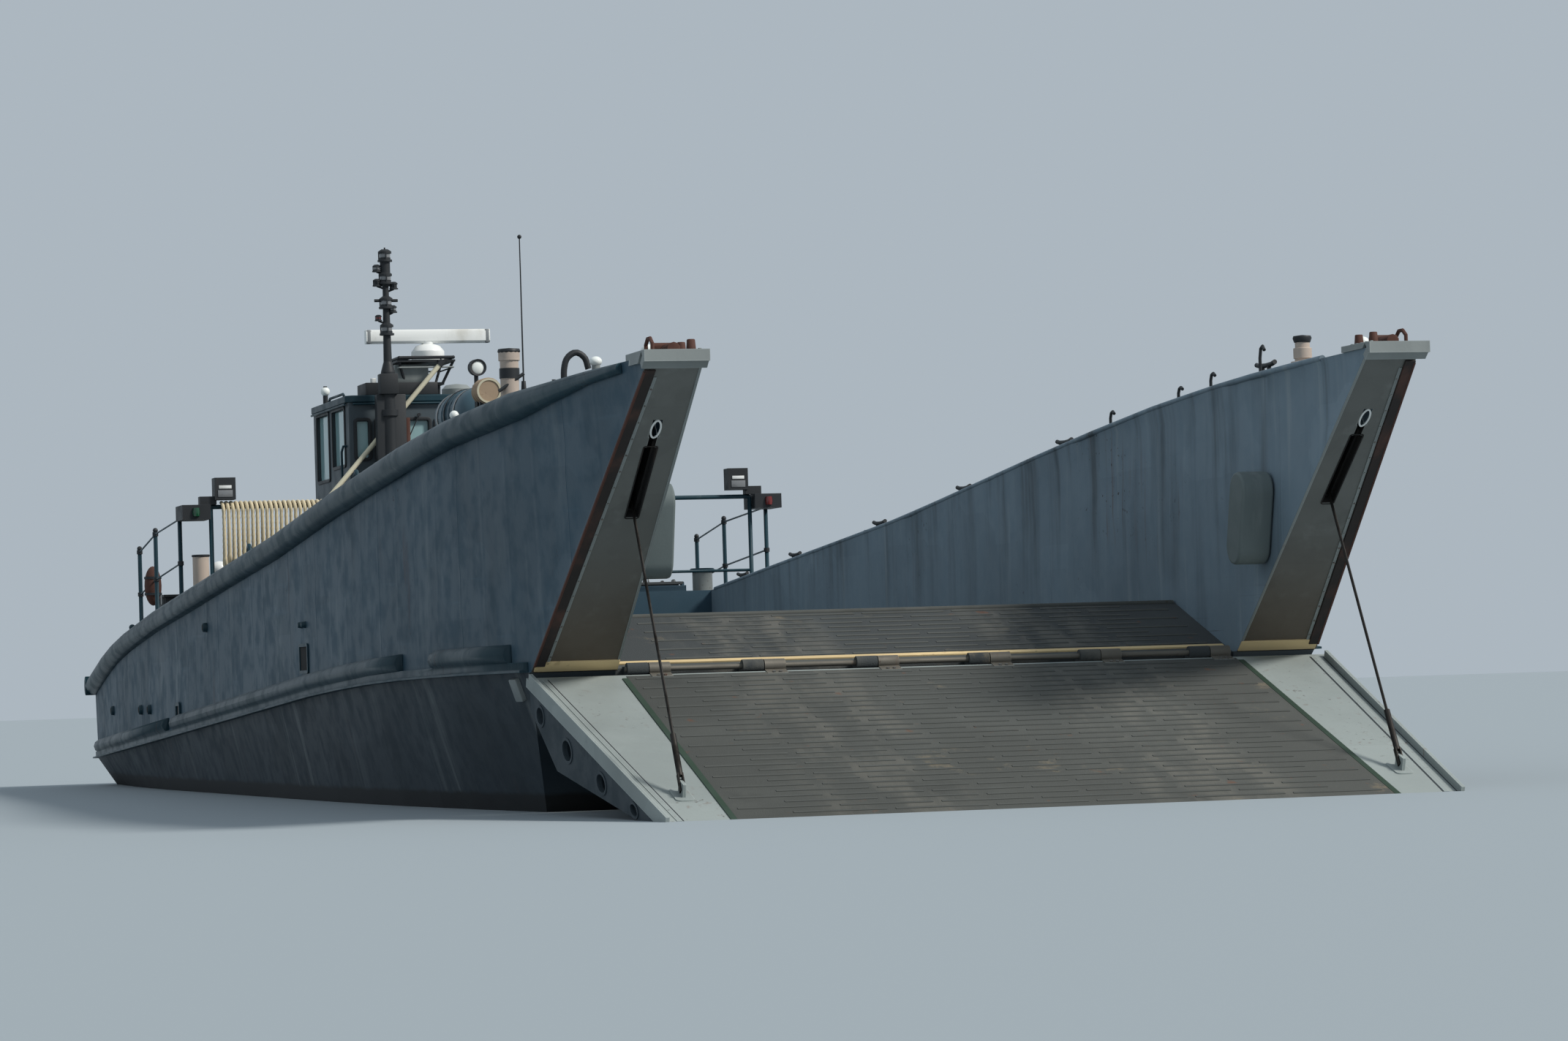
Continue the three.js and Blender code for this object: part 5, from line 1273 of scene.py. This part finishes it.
def crowned(name, low, high):
    """A padded block whose faces swell and whose corners pull in."""
    low, high = Vector(low), Vector(high)
    shape = bmesh.new()
    bmesh.ops.create_cube(shape, size=1.0)
    bmesh.ops.subdivide_edges(shape, edges=shape.edges, cuts=9, use_grid_fill=True)
    size = high - low
    middle = (low + high) / 2
    for point in shape.verts:
        local = point.co * 2
        swell = Vector()
        for axis in range(3):
            others = [local[i] for i in range(3) if i != axis]
            fullness = (1 - others[0] ** 2) * (1 - others[1] ** 2)
            swell[axis] = local[axis] * fullness * CROWN
        shrink = 1 - 0.04 * (abs(local.x) * abs(local.y) + abs(local.x * local.z) + abs(local.y * local.z))
        point.co = middle + Vector(local[i] / 2 * (size[i] - 2 * CROWN) * shrink + swell[i] for i in range(3))
    bmesh.ops.recalc_face_normals(shape, faces=shape.faces)
    pad = shown(name, shape, ["vinyl"], "hull", smooth=180, subdivide=1)


def helm():
    dressed("helm_console", ["dark"], edge=0.008)
    dressed("steering_wheel", ["dark"], edge=0.0, smooth=60)
    x = SEAT_X
    floor = deck_height(x, 0.0)
    seat = Work("dark")
    seat.rod((x, 0, floor), (x, 0, 2.262), 0.045, 20)
    seat.rod((x, 0, floor + 0.0003), (x, 0, floor + 0.05), 0.19, 24, 0.17, edge=0.006)
    seat.block((x - 0.2, -0.2, 2.255), (x + 0.2, 0.2, SEAT_PAN_Z), 0.006)
    seat.block((x - 0.222, -0.06, 2.26), (x - 0.198, 0.06, 2.6), 0.006)
    seat.done("helm_seat_frame", replaces=("helm_seat",))
    crowned("helm_seat_cushion", (x - 0.2, -0.23, SEAT_PAN_Z), (x + 0.23, 0.23, 2.372))
    crowned("helm_seat_back", (x - 0.196, -0.21, 2.42), (x - 0.126, 0.21, 2.85))

    panel = Work("dark")
    slope = on_slope((HOUSE_FRONT - 0.48, 0, 2.62), (HOUSE_FRONT - 0.24, 0, 2.76))
    for index, y in enumerate((-0.5, -0.34, -0.18, 0.18, 0.34, 0.5)):
        panel.at(slope @ Matrix.Translation((0.13, y, 0.0)))
        panel.use("steel").plate(0.12, 0.12, 0.01, rim=0.012, oval=24)
        panel.use("white" if index % 2 else "black_and_shade").plate(0.1, 0.1, 0.004, oval=24)
        panel.use("lamp_red").block((-0.002, -0.04, 0.004), (0.002, 0.002, 0.006))
    panel.at(Matrix.Identity(4)).use("steel")
    for y in (-0.06, 0.06):
        panel.rod((HOUSE_FRONT - 0.3, y, 2.74), (HOUSE_FRONT - 0.36, y, 2.9), 0.008, 8)
        panel.use("lamp_red" if y < 0 else "dark").ball((HOUSE_FRONT - 0.36, y, 2.91), 0.022, 12)
        panel.use("steel")
    panel.use("dark").at(placed(HOUSE_FRONT - 0.17, 0, 2.758))
    panel.turned([(0, 0), (0.1, 0), (0.1, 0.04), (0.08, 0.1), (0.04, 0.13), (0, 0.14)], 24)
    panel.at(Matrix.Identity(4))
    panel.done("helm_instruments")


# Lamp of stacked rings: base, lens and cap
def stack_lamp(work, point, colour, size=1.0):
    work.at(Matrix.Translation(point) @ Matrix.Diagonal((size, size, size, 1)))
    base = [(0, 0), (0.072, 0), (0.072, 0.018), (0.056, 0.024), (0.056, 0.04), (0, 0.04)]
    work.use("dark").turned(base, 20)
    work.use(colour).turned([(0, 0.04), (0.052, 0.04), (0.056, 0.06), (0.052, 0.08), (0, 0.08)], 20)
    work.use("dark").turned([(0, 0.08), (0.066, 0.08), (0.066, 0.1), (0.035, 0.122), (0, 0.124)], 20)
    for index in range(3):
        angle = index / 3 * math.tau
        x, y = 0.062 * math.cos(angle), 0.062 * math.sin(angle)
        work.rod((x, y, 0.012), (x, y, 0.092), 0.006, 6)
    work.at(Matrix.Identity(4))


# Side lamps of the mast as (offset to port, height, size, colour)
SIDE_LAMPS = (
    (-0.085, 4.98, 0.6, "lamp_dull"), (-0.085, 4.84, 0.6, "dark"), (0.08, 4.81, 0.6, "dark"),
    (0.065, 4.58, 0.6, "lamp_dull"), (-0.08, 4.5, 0.5, "lamp_red"),
)


def mast():
    dressed("mast_stay", ["cream"], edge=0.002, smooth=50)
    dressed("whip_antenna", ["dark"], edge=0.001, smooth=50)
    x, y = MAST.x, MAST.y
    base = deck_height(x, y)
    pole = Work("dark")
    pole.rod((x, y, base + 0.0005), (x, y, 4.0), 0.088, 24, 0.07)
    pole.rod((x, y, 4.0), (x, y, 4.1), 0.07, 24, 0.042)
    pole.rod((x, y, 4.08), (x, y, 5.08), 0.042, 20, 0.026)
    pole.rod((x, y, 4.84), (x, y, 5.12), 0.05, 20, edge=0.006)
    pole.rod((x, y, base + 0.0005), (x, y, base + 0.03), 0.16, 24, edge=0.005)
    pole.block((x - 0.06, y - 0.13, base + 0.03), (x + 0.05, y + 0.16, 3.78), 0.008)
    pole.use("chock").block((x - 0.03, y + 0.162, base + 0.03), (x + 0.03, y + 0.2, 3.55), 0.006)
    pole.use("dark")
    foot = Vector((x, y, base + 0.02))
    for index in range(4):
        angle = math.tau * (index + 0.5) / 4
        out = Vector((math.cos(angle), math.sin(angle), 0))
        pole.rod(foot + out * 0.14, foot + out * 0.08 + Vector((0, 0, 0.16)), 0.012, 6)
    for z in (2.85, 3.6):
        pole.block((HOUSE_FRONT - 0.001, y - 0.03, z - 0.02), (x + 0.05, y + 0.03, z + 0.02), 0.004)
        pole.hoop(0.07, 0.095, z - 0.03, z + 0.03, local=Matrix.Translation((x, y, 0)))
    pole.rod((x, y - 0.115, 4.7), (x, y + 0.115, 4.7), 0.015, 12)
    cable = ((0.1, base + 0.05), (0.095, 2.6), (0.088, 3.4), (0.08, 4.0), (0.05, 4.2), (0.04, 4.6))
    pole.swept([(x - offset, y, z) for offset, z in cable], 0.011, 8)
    pole.block((x - 0.03, y - 0.1, 3.78), (x + 0.1, y + 0.08, 3.98), 0.008)
    for z in (4.38, 4.64, 4.88, 5.1):
        stack_lamp(pole, (x, y, z - 0.02), "lamp_dull")
    for offset, z, size, colour in SIDE_LAMPS:
        stack_lamp(pole, (x, y + offset, z), colour, size)
        pole.use("dark").rod((x, y, z - 0.03), (x, y + offset, z + 0.002), 0.01, 8)
    pole.rod((x, y, 5.18), (x, y, 5.22), 0.008, 8)
    pole.done("lamp_mast", replaces=("mast",))


def radar():
    dressed("radar_platform", ["dark"], edge=0.003)
    dressed("radar_gearbox", ["white"], edge=0.006, smooth=50)
    low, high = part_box("radar_platform")
    work = Work("dark")
    z = RADAR.z + 0.022
    x0, x1, y0, y1 = low.x + 0.02, high.x - 0.06, low.y + 0.02, high.y - 0.02
    corners = [(x0, y0), (x1, y0), (x1, y1), (x0, y1)]
    for start, end in zip(corners, corners[1:] + corners[:1]):
        work.use("dark").rod((*start, z), (*end, z), 0.016, 10)
        work.use("light").rod((*start, RADAR.z - 0.075), (*end, RADAR.z - 0.075), 0.008, 8)
    work.use("dark")
    for x, y in corners:
        work.ball((x, y, z), 0.018, 12)
    work.use("light")
    work.block((low.x + 0.1, low.y + 0.08, RADAR.z - 0.001), (-6.5, high.y - 0.08, RADAR.z + 0.006), 0.002)
    work.block((-6.95, -0.62, 3.912), (-6.5, -0.28, RADAR.z - 0.04), 0.008)
    work.use("dark").block((-6.9, -0.92, ROOF_TOP + 0.001), (-6.46, -0.2, 3.915), 0.006)
    for index in range(6):
        angle = index / 6 * math.tau
        x, y = RADAR.x + 0.16 * math.cos(angle), RADAR.y + 0.145 * math.sin(angle)
        work.use("steel").rod((x, y, RADAR.z + 0.004), (x, y, RADAR.z + 0.03), 0.009, 6)
    cable = (
        (-0.1, -0.14, 0.06), (-0.14, -0.3, 0.03), (-0.1, -0.42, 0.02), (-0.1, -0.45, -0.12), (0, -0.4, -0.23),
    )
    work.use("dark").swept([RADAR + Vector(point) for point in cable], 0.012, 8)
    work.done("radar_platform_fittings")

    bar = dressed("radar_scanner", ["white"], edge=0.014, smooth=50)
    bar.modifiers["edges"].segments = 4
    low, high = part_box("radar_scanner")
    ends = Work("grey_cap")
    half = 0.0675
    middle_z = RADAR.z + 0.195 + half
    for side in (-1, 1):
        tip = low.y if side < 0 else high.y
        y0, y1 = tip - side * 0.001, tip - side * 0.055
        ends.block((RADAR.x - 0.0485, y0, middle_z - half), (RADAR.x + 0.0565, y1, middle_z + half), 0.012)
    ends.done("radar_scanner_ends", "radar_scanner")


# Middles of the raft canister, the stores drum and the floodlight, with Z above the deck
RAFT = Vector((5.75, -2.53, 0.222))
RAFT_RADIUS = 0.18
RAFT_HALF = 0.5
DRUM = Vector((6.8, -2.63, 0.245))
DRUM_RADIUS = 0.09
FLOODLIGHT = Vector((6.43, -2.62, 0.465))
# Vent posts as (x, y, height, radius)
VENTS = ((7.51, -2.62, 0.43, 0.066), (9.85, 2.31, 0.12, 0.054))
# How much taller the port vent is than its solid
PORT_VENT_LIFT = 0.07


def on_deck(place):
    return Vector((place.x, place.y, deck_height(place.x, math.copysign(2.7, place.y)) + place.z))


def wing_gear():
    raft = on_deck(RAFT)
    drum = on_deck(DRUM)
    dressed("raft_canister", ["canister"], edge=0.004, smooth=40)
    dressed("raft_cradle", ["dark"], edge=0.004)
    dressed("stores_drum", ["tan", "dark"], edge=0.004, smooth=40,
            rule=lambda face: 1 if face.calc_center_median().z < drum.z - DRUM_RADIUS - 0.002 else 0)
    for node, paint in (
        ("vent_post_starboard", "post"), ("vent_post_port", "post"), ("gooseneck_starboard", "dark"),
        ("floodlight_starboard", "dark"),
    ):
        dressed(node, [paint], edge=0.003, smooth=45)
    dressed("deck_locker", ["dark"], edge=0.006)

    work = Work("steel")
    r = RAFT_RADIUS
    for dx in (-0.29, 0.29):
        strap = facing(raft + Vector((dx, 0, 0)), (1, 0, 0))
        work.hoop(r + 0.001, r + 0.005, -0.018, 0.018, 40, strap)
        clasp = raft + Vector((dx, 0, r))
        work.block(clasp - Vector((0.025, 0.03, 0)), clasp + Vector((0.025, 0.03, 0.022)), 0.004)
    work.use("canister")
    for dx in (-0.13, 0.13):
        rib = facing(raft + Vector((dx, 0, 0)), (1, 0, 0))
        work.turned([(r, -0.01), (r + 0.006, -0.005), (r + 0.006, 0.005), (r, 0.01)], 40, rib)
    work.use("dark").hoop(r + 0.01, r + 0.014, -0.012, 0.012, 40, facing(raft, (1, 0, 0)))
    end = raft.x + RAFT_HALF
    work.rod((end - 0.004, raft.y, raft.z), (end + 0.006, raft.y, raft.z), 0.04, 16)
    work.use("tan")
    r = DRUM_RADIUS
    for dx in (-0.06, 0.0, 0.06):
        rib = facing(drum + Vector((dx, 0, 0)), (1, 0, 0))
        ridge = [(r - 0.001, -0.008), (r + 0.005, -0.003), (r + 0.005, 0.003), (r - 0.001, 0.008)]
        work.turned(ridge, 36, rib)
    work.use("cream")
    work.turned([(r - 0.016, 0), (r - 0.016, 0.006), (r - 0.002, 0.006), (r - 0.002, 0)], 36,
                facing(drum + Vector((r, 0, 0)), (1, 0, 0)))
    work.use("dark")
    for x, y, height, radius in VENTS:
        post = on_deck(Vector((x, y, 0)))
        cap = radius * 1.25
        if y < 0:
            work.hoop(radius + 0.001, radius + 0.004, height - 0.19, height - 0.12, 28, placed(*post))
            work.rod(post + Vector((0.05, -0.09, 0.15)), post + Vector((0.05, 0.09, 0.27)), 0.012, 8)
        else:
            top = height + PORT_VENT_LIFT
            work.use("post").rod(post + Vector((0, 0, height)), post + Vector((0, 0, top)), 0.05, 24)
            work.use("dark")
            height = top
        work.turned([(0, height - 0.03), (radius, height - 0.03), (cap - 0.003, height - 0.002),
                     (cap - 0.008, height + 0.014), (0, height + 0.022)], 28, placed(*post))
    lamp = on_deck(FLOODLIGHT) + Vector((0.066, 0, 0))
    ahead = facing(lamp, (1, 0, 0))
    # Near-white lens of the floodlight: a painted glint of light on its glass
    work.use("lamp_white").turned([(0, 0.011), (0.03, 0.008), (0.046, 0.0), (0, -0.002)], 28, ahead)
    work.use("dark").turned([(0.046, -0.015), (0.06, -0.015), (0.06, 0.014), (0.046, 0.01)], 28, ahead)

    # Small lamps of the starboard wing, from the bow aft
    x, y = 9.54, -2.5
    z = deck_height(x, y)
    work.use("light").rod((x, y, z - 0.01), (x, y, z + 0.1), 0.028, 16, edge=0.004)
    work.use("lamp_white").ball((x, y, z + 0.12), 0.042, 20, (1, 1, 0.8))
    for x, y, deck_y, foot, top in ((7.62, -2.56, -2.5, 0.01, 0.05), (7.1, -2.93, -2.8, 0.02, 0.03)):
        z = deck_height(x, deck_y)
        work.use("light").rod((x, y, z - foot), (x, y, z + top), 0.024, 12)
        work.use("lamp_white").ball((x, y, z + top + 0.01), 0.034, 14)
    x, y = 5.1, -2.35
    z = deck_height(x, y)
    work.use("light").rod((x, y, z - 0.01), (x, y, z + 0.1), 0.02, 12)
    work.use("lamp_white").rod((x, y, z + 0.09), (x, y, z + 0.16), 0.035, 16, 0.028, edge=0.006)
    work.done("wing_deck_gear_trim")

    for name, side in SIDES:
        deck = Work("deck")
        covers = (-4.1, -1.6, 0.9, 3.4) + ((5.6, 8.0) if side > 0 else ())
        for x in covers:
            z = deck_height(x, side * 2.62)
            deck.at(placed(x, side * 2.62, z - 0.002))
            deck.use("rail").plate(0.62, 0.42, 0.014, oval=28, edge=0.003)
            oval_bolts(deck.use("steel"), 0.278, 0.178, 0.012, 0.022, 18)
            deck.at(Matrix.Identity(4))
        for x in (-4.75, -2.9, -0.2, 2.2, 4.75) + ((9.0,) if side > 0 else ()):
            z = deck_height(x, side * 2.4)
            deck.use("dark").at(placed(x, side * 2.38, z - 0.002))
            deck.plate(0.3, 0.1, 0.014, corner=0.03, edge=0.003)
            for dx in (-0.06, 0.06):
                deck.rod((dx, 0, 0.01), (dx, 0, 0.085), 0.018, 12, 0.015)
            horns = ((-0.17, 0.105), (-0.11, 0.094), (0, 0.09), (0.11, 0.094), (0.17, 0.105))
            deck.swept([(dx, 0, rise) for dx, rise in horns], 0.017, 10)
            deck.at(Matrix.Identity(4))
        y = side * 2.82
        for x in (-3.5, 0.3, 4.0):
            z = deck_height(x, y)
            deck.use("steel").rod((x, y, z - 0.004), (x, y, z + 0.018), 0.055, 20, edge=0.004)
            deck.rod((x - 0.04, y, z + 0.018), (x + 0.04, y, z + 0.018), 0.008, 6)
        for x in (-2.2, 2.9):
            z = deck_height(x, side * 2.86)
            y = side * 2.84
            neck = ((0, -0.01), (0, 0.14), (0.012, 0.19), (0.05, 0.215), (0.088, 0.19), (0.1, 0.14))
            deck.use("rail").swept([(x + dx, y, z + rise) for dx, rise in neck], 0.02, 10)
            deck.rod((x, y, z - 0.005), (x, y, z + 0.012), 0.045, 14)
        hooks = ((9.2, 0.2), (8.25, 0.12), (7.6, 0.1), (6.15, 0.12)) if side > 0 else ((4.2, 0.1), (1.4, 0.1))
        for x, height in hooks:
            z = deck_height(x, side * 2.3)
            y = side * 2.26
            hook = [(x, y, z - 0.01), (x, y, z + height * 0.6), (x + 0.02, y, z + height * 0.92)]
            hook += [(x + 0.055, y, z + height), (x + 0.085, y, z + height * 0.85)]
            deck.use("dark").swept(hook, 0.012, 8)
        deck.done(f"wing_deck_fittings_{name}")


def rails():
    for name, side in SIDES:
        dressed(f"lifeline_{name}", ["rail"], edge=0.0, smooth=50)
        dressed(f"sidelight_{name}", ["dark"], edge=0.006)
        work = Work("lamp_red" if side > 0 else "lamp_green")
        work.at(placed(GUARD_RAIL_X + 0.132, side * 2.81, 2.63))
        work.turned([(0, -0.04), (0.03, -0.04), (0.036, 0), (0.03, 0.04), (0, 0.04)], 18)
        work.at(Matrix.Identity(4)).use("white")
        lamp_y = side * 2.52
        front = GUARD_RAIL_X + 0.085
        work.block((front - 0.002, lamp_y - 0.06, 2.85), (front + 0.004, lamp_y + 0.06, 2.88), 0.001)
        low, high = (front - 0.001, lamp_y - 0.07, 2.77), (front + 0.005, lamp_y + 0.07, 2.835)
        work.use("lamp_dull").block(low, high, 0.002)
        work.use("dark")
        for x, top in ((-8.4, 2.4), (-7.3, 2.54), (-5.72, 2.62)):
            work.ball((x, side * 2.9, top), 0.026, 14)
            for share in (0.48, 0.96):
                z = deck_height(x, side * 2.85) * (1 - share) + top * share
                work.rod((x, side * 2.9, z - 0.02), (x, side * 2.9, z + 0.02), 0.029, 14)
        work.done(f"sidelight_{name}_fittings")
    dressed("well_guard_rail", ["rail"], edge=0.0, smooth=50)

    hose = Vector((-7.55, -2.9, 2.0))
    bag = Work("chock")
    bag.ball(hose, 0.085, 24, (1, 1, 2.3))
    for dz in (-0.08, 0.08):
        strap = Matrix.Translation(hose + Vector((0, 0, dz)))
        bag.use("dark").hoop(0.076, 0.086, -0.012, 0.012, 28, strap)
    bag.done("hose_bag")


def stern():
    for name, side in SIDES:
        dressed(f"stern_bitts_{name}", ["dark"], edge=0.005, smooth=42)
        dressed(f"exhaust_{name}", ["black_and_shade"], edge=0.004, smooth=50)
    for hatch in ("engine_hatch_starboard", "engine_hatch_port", "lazarette_hatch"):
        dressed(hatch, ["deck"], edge=0.004)
        low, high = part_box(hatch)
        middle = (low + high) / 2
        work = Work("steel")
        lid = high.z
        z = lid - 0.004
        grab(work, (middle.x - 0.1, middle.y, z), (middle.x + 0.1, middle.y, z), (0, 0, 0.05), 0.009)
        for dx in (-0.22, 0.22):
            for dy in (-0.22, 0.22):
                x, y = middle.x + dx, middle.y + dy
                work.rod((x, y, lid - 0.006), (x, y, lid + 0.012), 0.022, 14, edge=0.003)
                work.rod((x - 0.035, y, lid + 0.014), (x + 0.035, y, lid + 0.014), 0.007, 8)
        work.done(hatch + "_handles", bodies_of[hatch])

    work = Work("rail")
    for rung in range(5):
        z = 0.22 + 0.2 * rung
        grab(work, (TRANSOM + 0.005, 0.75, z), (TRANSOM + 0.005, 1.15, z), (-0.07, 0, 0), 0.012)
    for y in (-1.0, 0.0, 1.0):
        x = -10.85
        z = deck_height(x, y)
        work.use("dark").at(placed(x, y, z - 0.002))
        work.plate(0.26, 0.2, 0.016, corner=0.03, edge=0.003)
        arch = ((-0.07, 0), (-0.07, 0.09), (-0.04, 0.13), (0.04, 0.13), (0.07, 0.09), (0.07, 0))
        work.swept([(dx, 0, rise) for dx, rise in arch], 0.016, 10)
        work.at(Matrix.Identity(4))
    work.use("rail")
    for side in (-1, 1):
        work.ball((TRANSOM, side * 3.02, 1.05), 0.1, 24)
    work.use("light").rod((TRANSOM + 0.05, 0, 1.1), (TRANSOM + 0.05, 0, 1.5), 0.02, 12)
    stack_lamp(work, (TRANSOM + 0.05, 0, 1.5), "lamp_white")
    for side in (-1, 1):
        work.use("rail").at(upright((TRANSOM, side * 0.75, 0.72), (-1, 0, 0)))
        work.plate(0.5, 0.4, 0.014, corner=0.06, edge=0.004)
        work.at(Matrix.Identity(4))
        for x in (-9.5, -8.2, -7.0):
            y = side * 2.72
            z = deck_height(x, side * 2.7)
            work.use("dark").rod((x, y, z - 0.004), (x, y, z + 0.02), 0.05, 18, edge=0.004)
        for x in (-10.75, -9.2):
            y = side * 2.88
            z = deck_height(x, side * 2.85)
            work.use("rail").rod((x, y, z - 0.01), (x, y, z + 0.2), 0.028, 12)
            work.ball((x, y, z + 0.2), 0.034, 12)
        x, y = -6.15, side * 2.35
        z = deck_height(x, y)
        work.use("light").rod((x, y, z - 0.01), (x, y, z + 0.26), 0.1, 22, edge=0.005)
        work.use("rail").rod((x, y, z + 0.26), (x, y, z + 0.3), 0.125, 22, edge=0.012)
    # Deck stores on the starboard side: a drum and a dome on a post
    x, y, top = -6.4, -2.6, 2.25
    z = deck_height(x, y)
    work.use("post").rod((x, y, z - 0.01), (x, y, top), 0.08, 22, edge=0.006)
    work.use("dark").rod((x, y, top - 0.01), (x, y, top + 0.012), 0.088, 22, edge=0.004)
    y, top = -2.42, 2.12
    work.use("rail").rod((x, y, z - 0.01), (x, y, top), 0.06, 20)
    work.use("white").ball((x, y, top), 0.085, 22, (1, 1, 0.9))
    # Hinges and hasp of the locker as (along, from, to, foot) from the middle of its foot
    locker = Vector((-8.75, -2.46, deck_height(-8.75, -2.46)))
    work.use("steel")
    for dx, near, far, foot in (
        (-0.15, -0.206, -0.197, 0.36), (0.15, -0.206, -0.197, 0.36), (0, 0.196, 0.208, 0.34),
    ):
        x = locker.x + dx
        low = (x - 0.03, locker.y + near, locker.z + foot)
        work.block(low, (x + 0.03, locker.y + far, locker.z + 0.46), 0.002)
    for y in (-0.75, 0.75):
        x = -8.9
        z = deck_height(x, y)
        work.use("deck").at(placed(x, y, z - 0.002))
        work.plate(0.7, 0.7, 0.02, corner=0.08, edge=0.004)
        work.use("steel")
        for index in range(20):
            angle = index / 20 * math.tau
            reach = 0.31 / max(abs(math.cos(angle)), abs(math.sin(angle)))
            point = Vector((reach * math.cos(angle), reach * math.sin(angle), 0.018))
            work.rod(point, point + Vector((0, 0, 0.01)), 0.009, 6)
        work.at(Matrix.Identity(4))
    work.done("after_deck_fittings")


def running_gear():
    for name, side in SIDES:
        dressed(f"propeller_{name}", ["bronze"], edge=0.003, smooth=30)
        dressed(f"rudder_{name}", ["lower"], edge=0.006, smooth=40)
        dressed(f"shaft_bracket_{name}", ["lower"], edge=0.003, smooth=50)
        zincs = Work("zinc")
        x = -10.5
        for offset in (-1, 1):
            zincs.at(placed(x + 0.02, side * PROPELLER.y + offset * 0.043, -0.8, -offset * math.pi / 2, "X"))
            zincs.plate(0.2, 0.08, 0.02, corner=0.02, edge=0.005)
        zincs.at(Matrix.Identity(4)).done(f"rudder_{name}_anodes", f"rudder_{name}")
        ring = Work("zinc")
        along = Vector((math.cos(SHAFT_TILT), 0, math.sin(SHAFT_TILT)))
        hub = Vector((PROPELLER.x, side * PROPELLER.y, PROPELLER.z))
        ring.turned([(0.039, -0.05), (0.06, -0.045), (0.066, 0), (0.06, 0.045), (0.039, 0.05)], 24,
                    facing(hub + along * 0.75, along))
        ring.done(f"shaft_{name}_anode", f"propeller_{name}")
    grates = Work("lower")
    for side in (-1, 1):
        for x in (-5.6, -4.9):
            point = surface("lower_hull", (x, side * 1.7, CLEAR_BELOW), (0, 0, 1))
            grates.at(facing(point, (0, side * 0.12, -1)))
            grates.plate(0.34, 0.34, 0.02, corner=0.03, rim=0.03, edge=0.003)
            for bar in range(7):
                grates.rod((-0.13 + bar * 0.043, -0.15, 0.008), (-0.13 + bar * 0.043, 0.15, 0.008), 0.007, 6)
    grates.at(Matrix.Identity(4)).use("zinc")
    for side in (-1, 1):
        for x in (-9.0, -7.6):
            point = surface("lower_hull", (x, side * 2.2, CLEAR_BELOW), (0, 0, 1))
            grates.at(facing(point, (0.12, side * 0.1, -1)))
            grates.plate(0.3, 0.12, 0.03, corner=0.03, edge=0.008)
    grates.at(Matrix.Identity(4)).done("bottom_fittings")


# Stage and light

def stage():
    shape = bmesh.new()
    bmesh.ops.create_grid(shape, x_segments=1, y_segments=1, size=450.0)
    mesh = bpy.data.meshes.new("floor")
    shape.to_mesh(mesh)
    shape.free()
    mesh.materials.append(Finish("pale_floor", None, srgb(152, 162, 168), 0.85).material)
    plane = bpy.data.objects.new("floor", mesh)
    bpy.context.scene.collection.objects.link(plane)

    sun = bpy.data.objects.new("sun", bpy.data.lights.new("sun", "SUN"))
    sun.data.energy = 3.2
    sun.data.angle = math.radians(12)
    sun.data.color = (1.0, 0.96, 0.9)
    sun.rotation_mode = "QUATERNION"
    sun.rotation_quaternion = Vector((0.45, 0.6, 0.66)).to_track_quat("Z", "Y")
    bpy.context.scene.collection.objects.link(sun)

    world = bpy.data.worlds.new("pale_sky")
    world.use_nodes = True
    back = world.node_tree.nodes["Background"]
    back.inputs["Color"].default_value = srgb(196, 208, 218)
    back.inputs["Strength"].default_value = 0.75
    bpy.context.scene.world = world
    bpy.context.scene.view_settings.view_transform = "Standard"


camera()
rope()
for build in (
    hull, well, ramp, bow, side_fittings, pilothouse, helm, mast, radar,
    wing_gear, rails, stern, running_gear, stage,
):
    build()
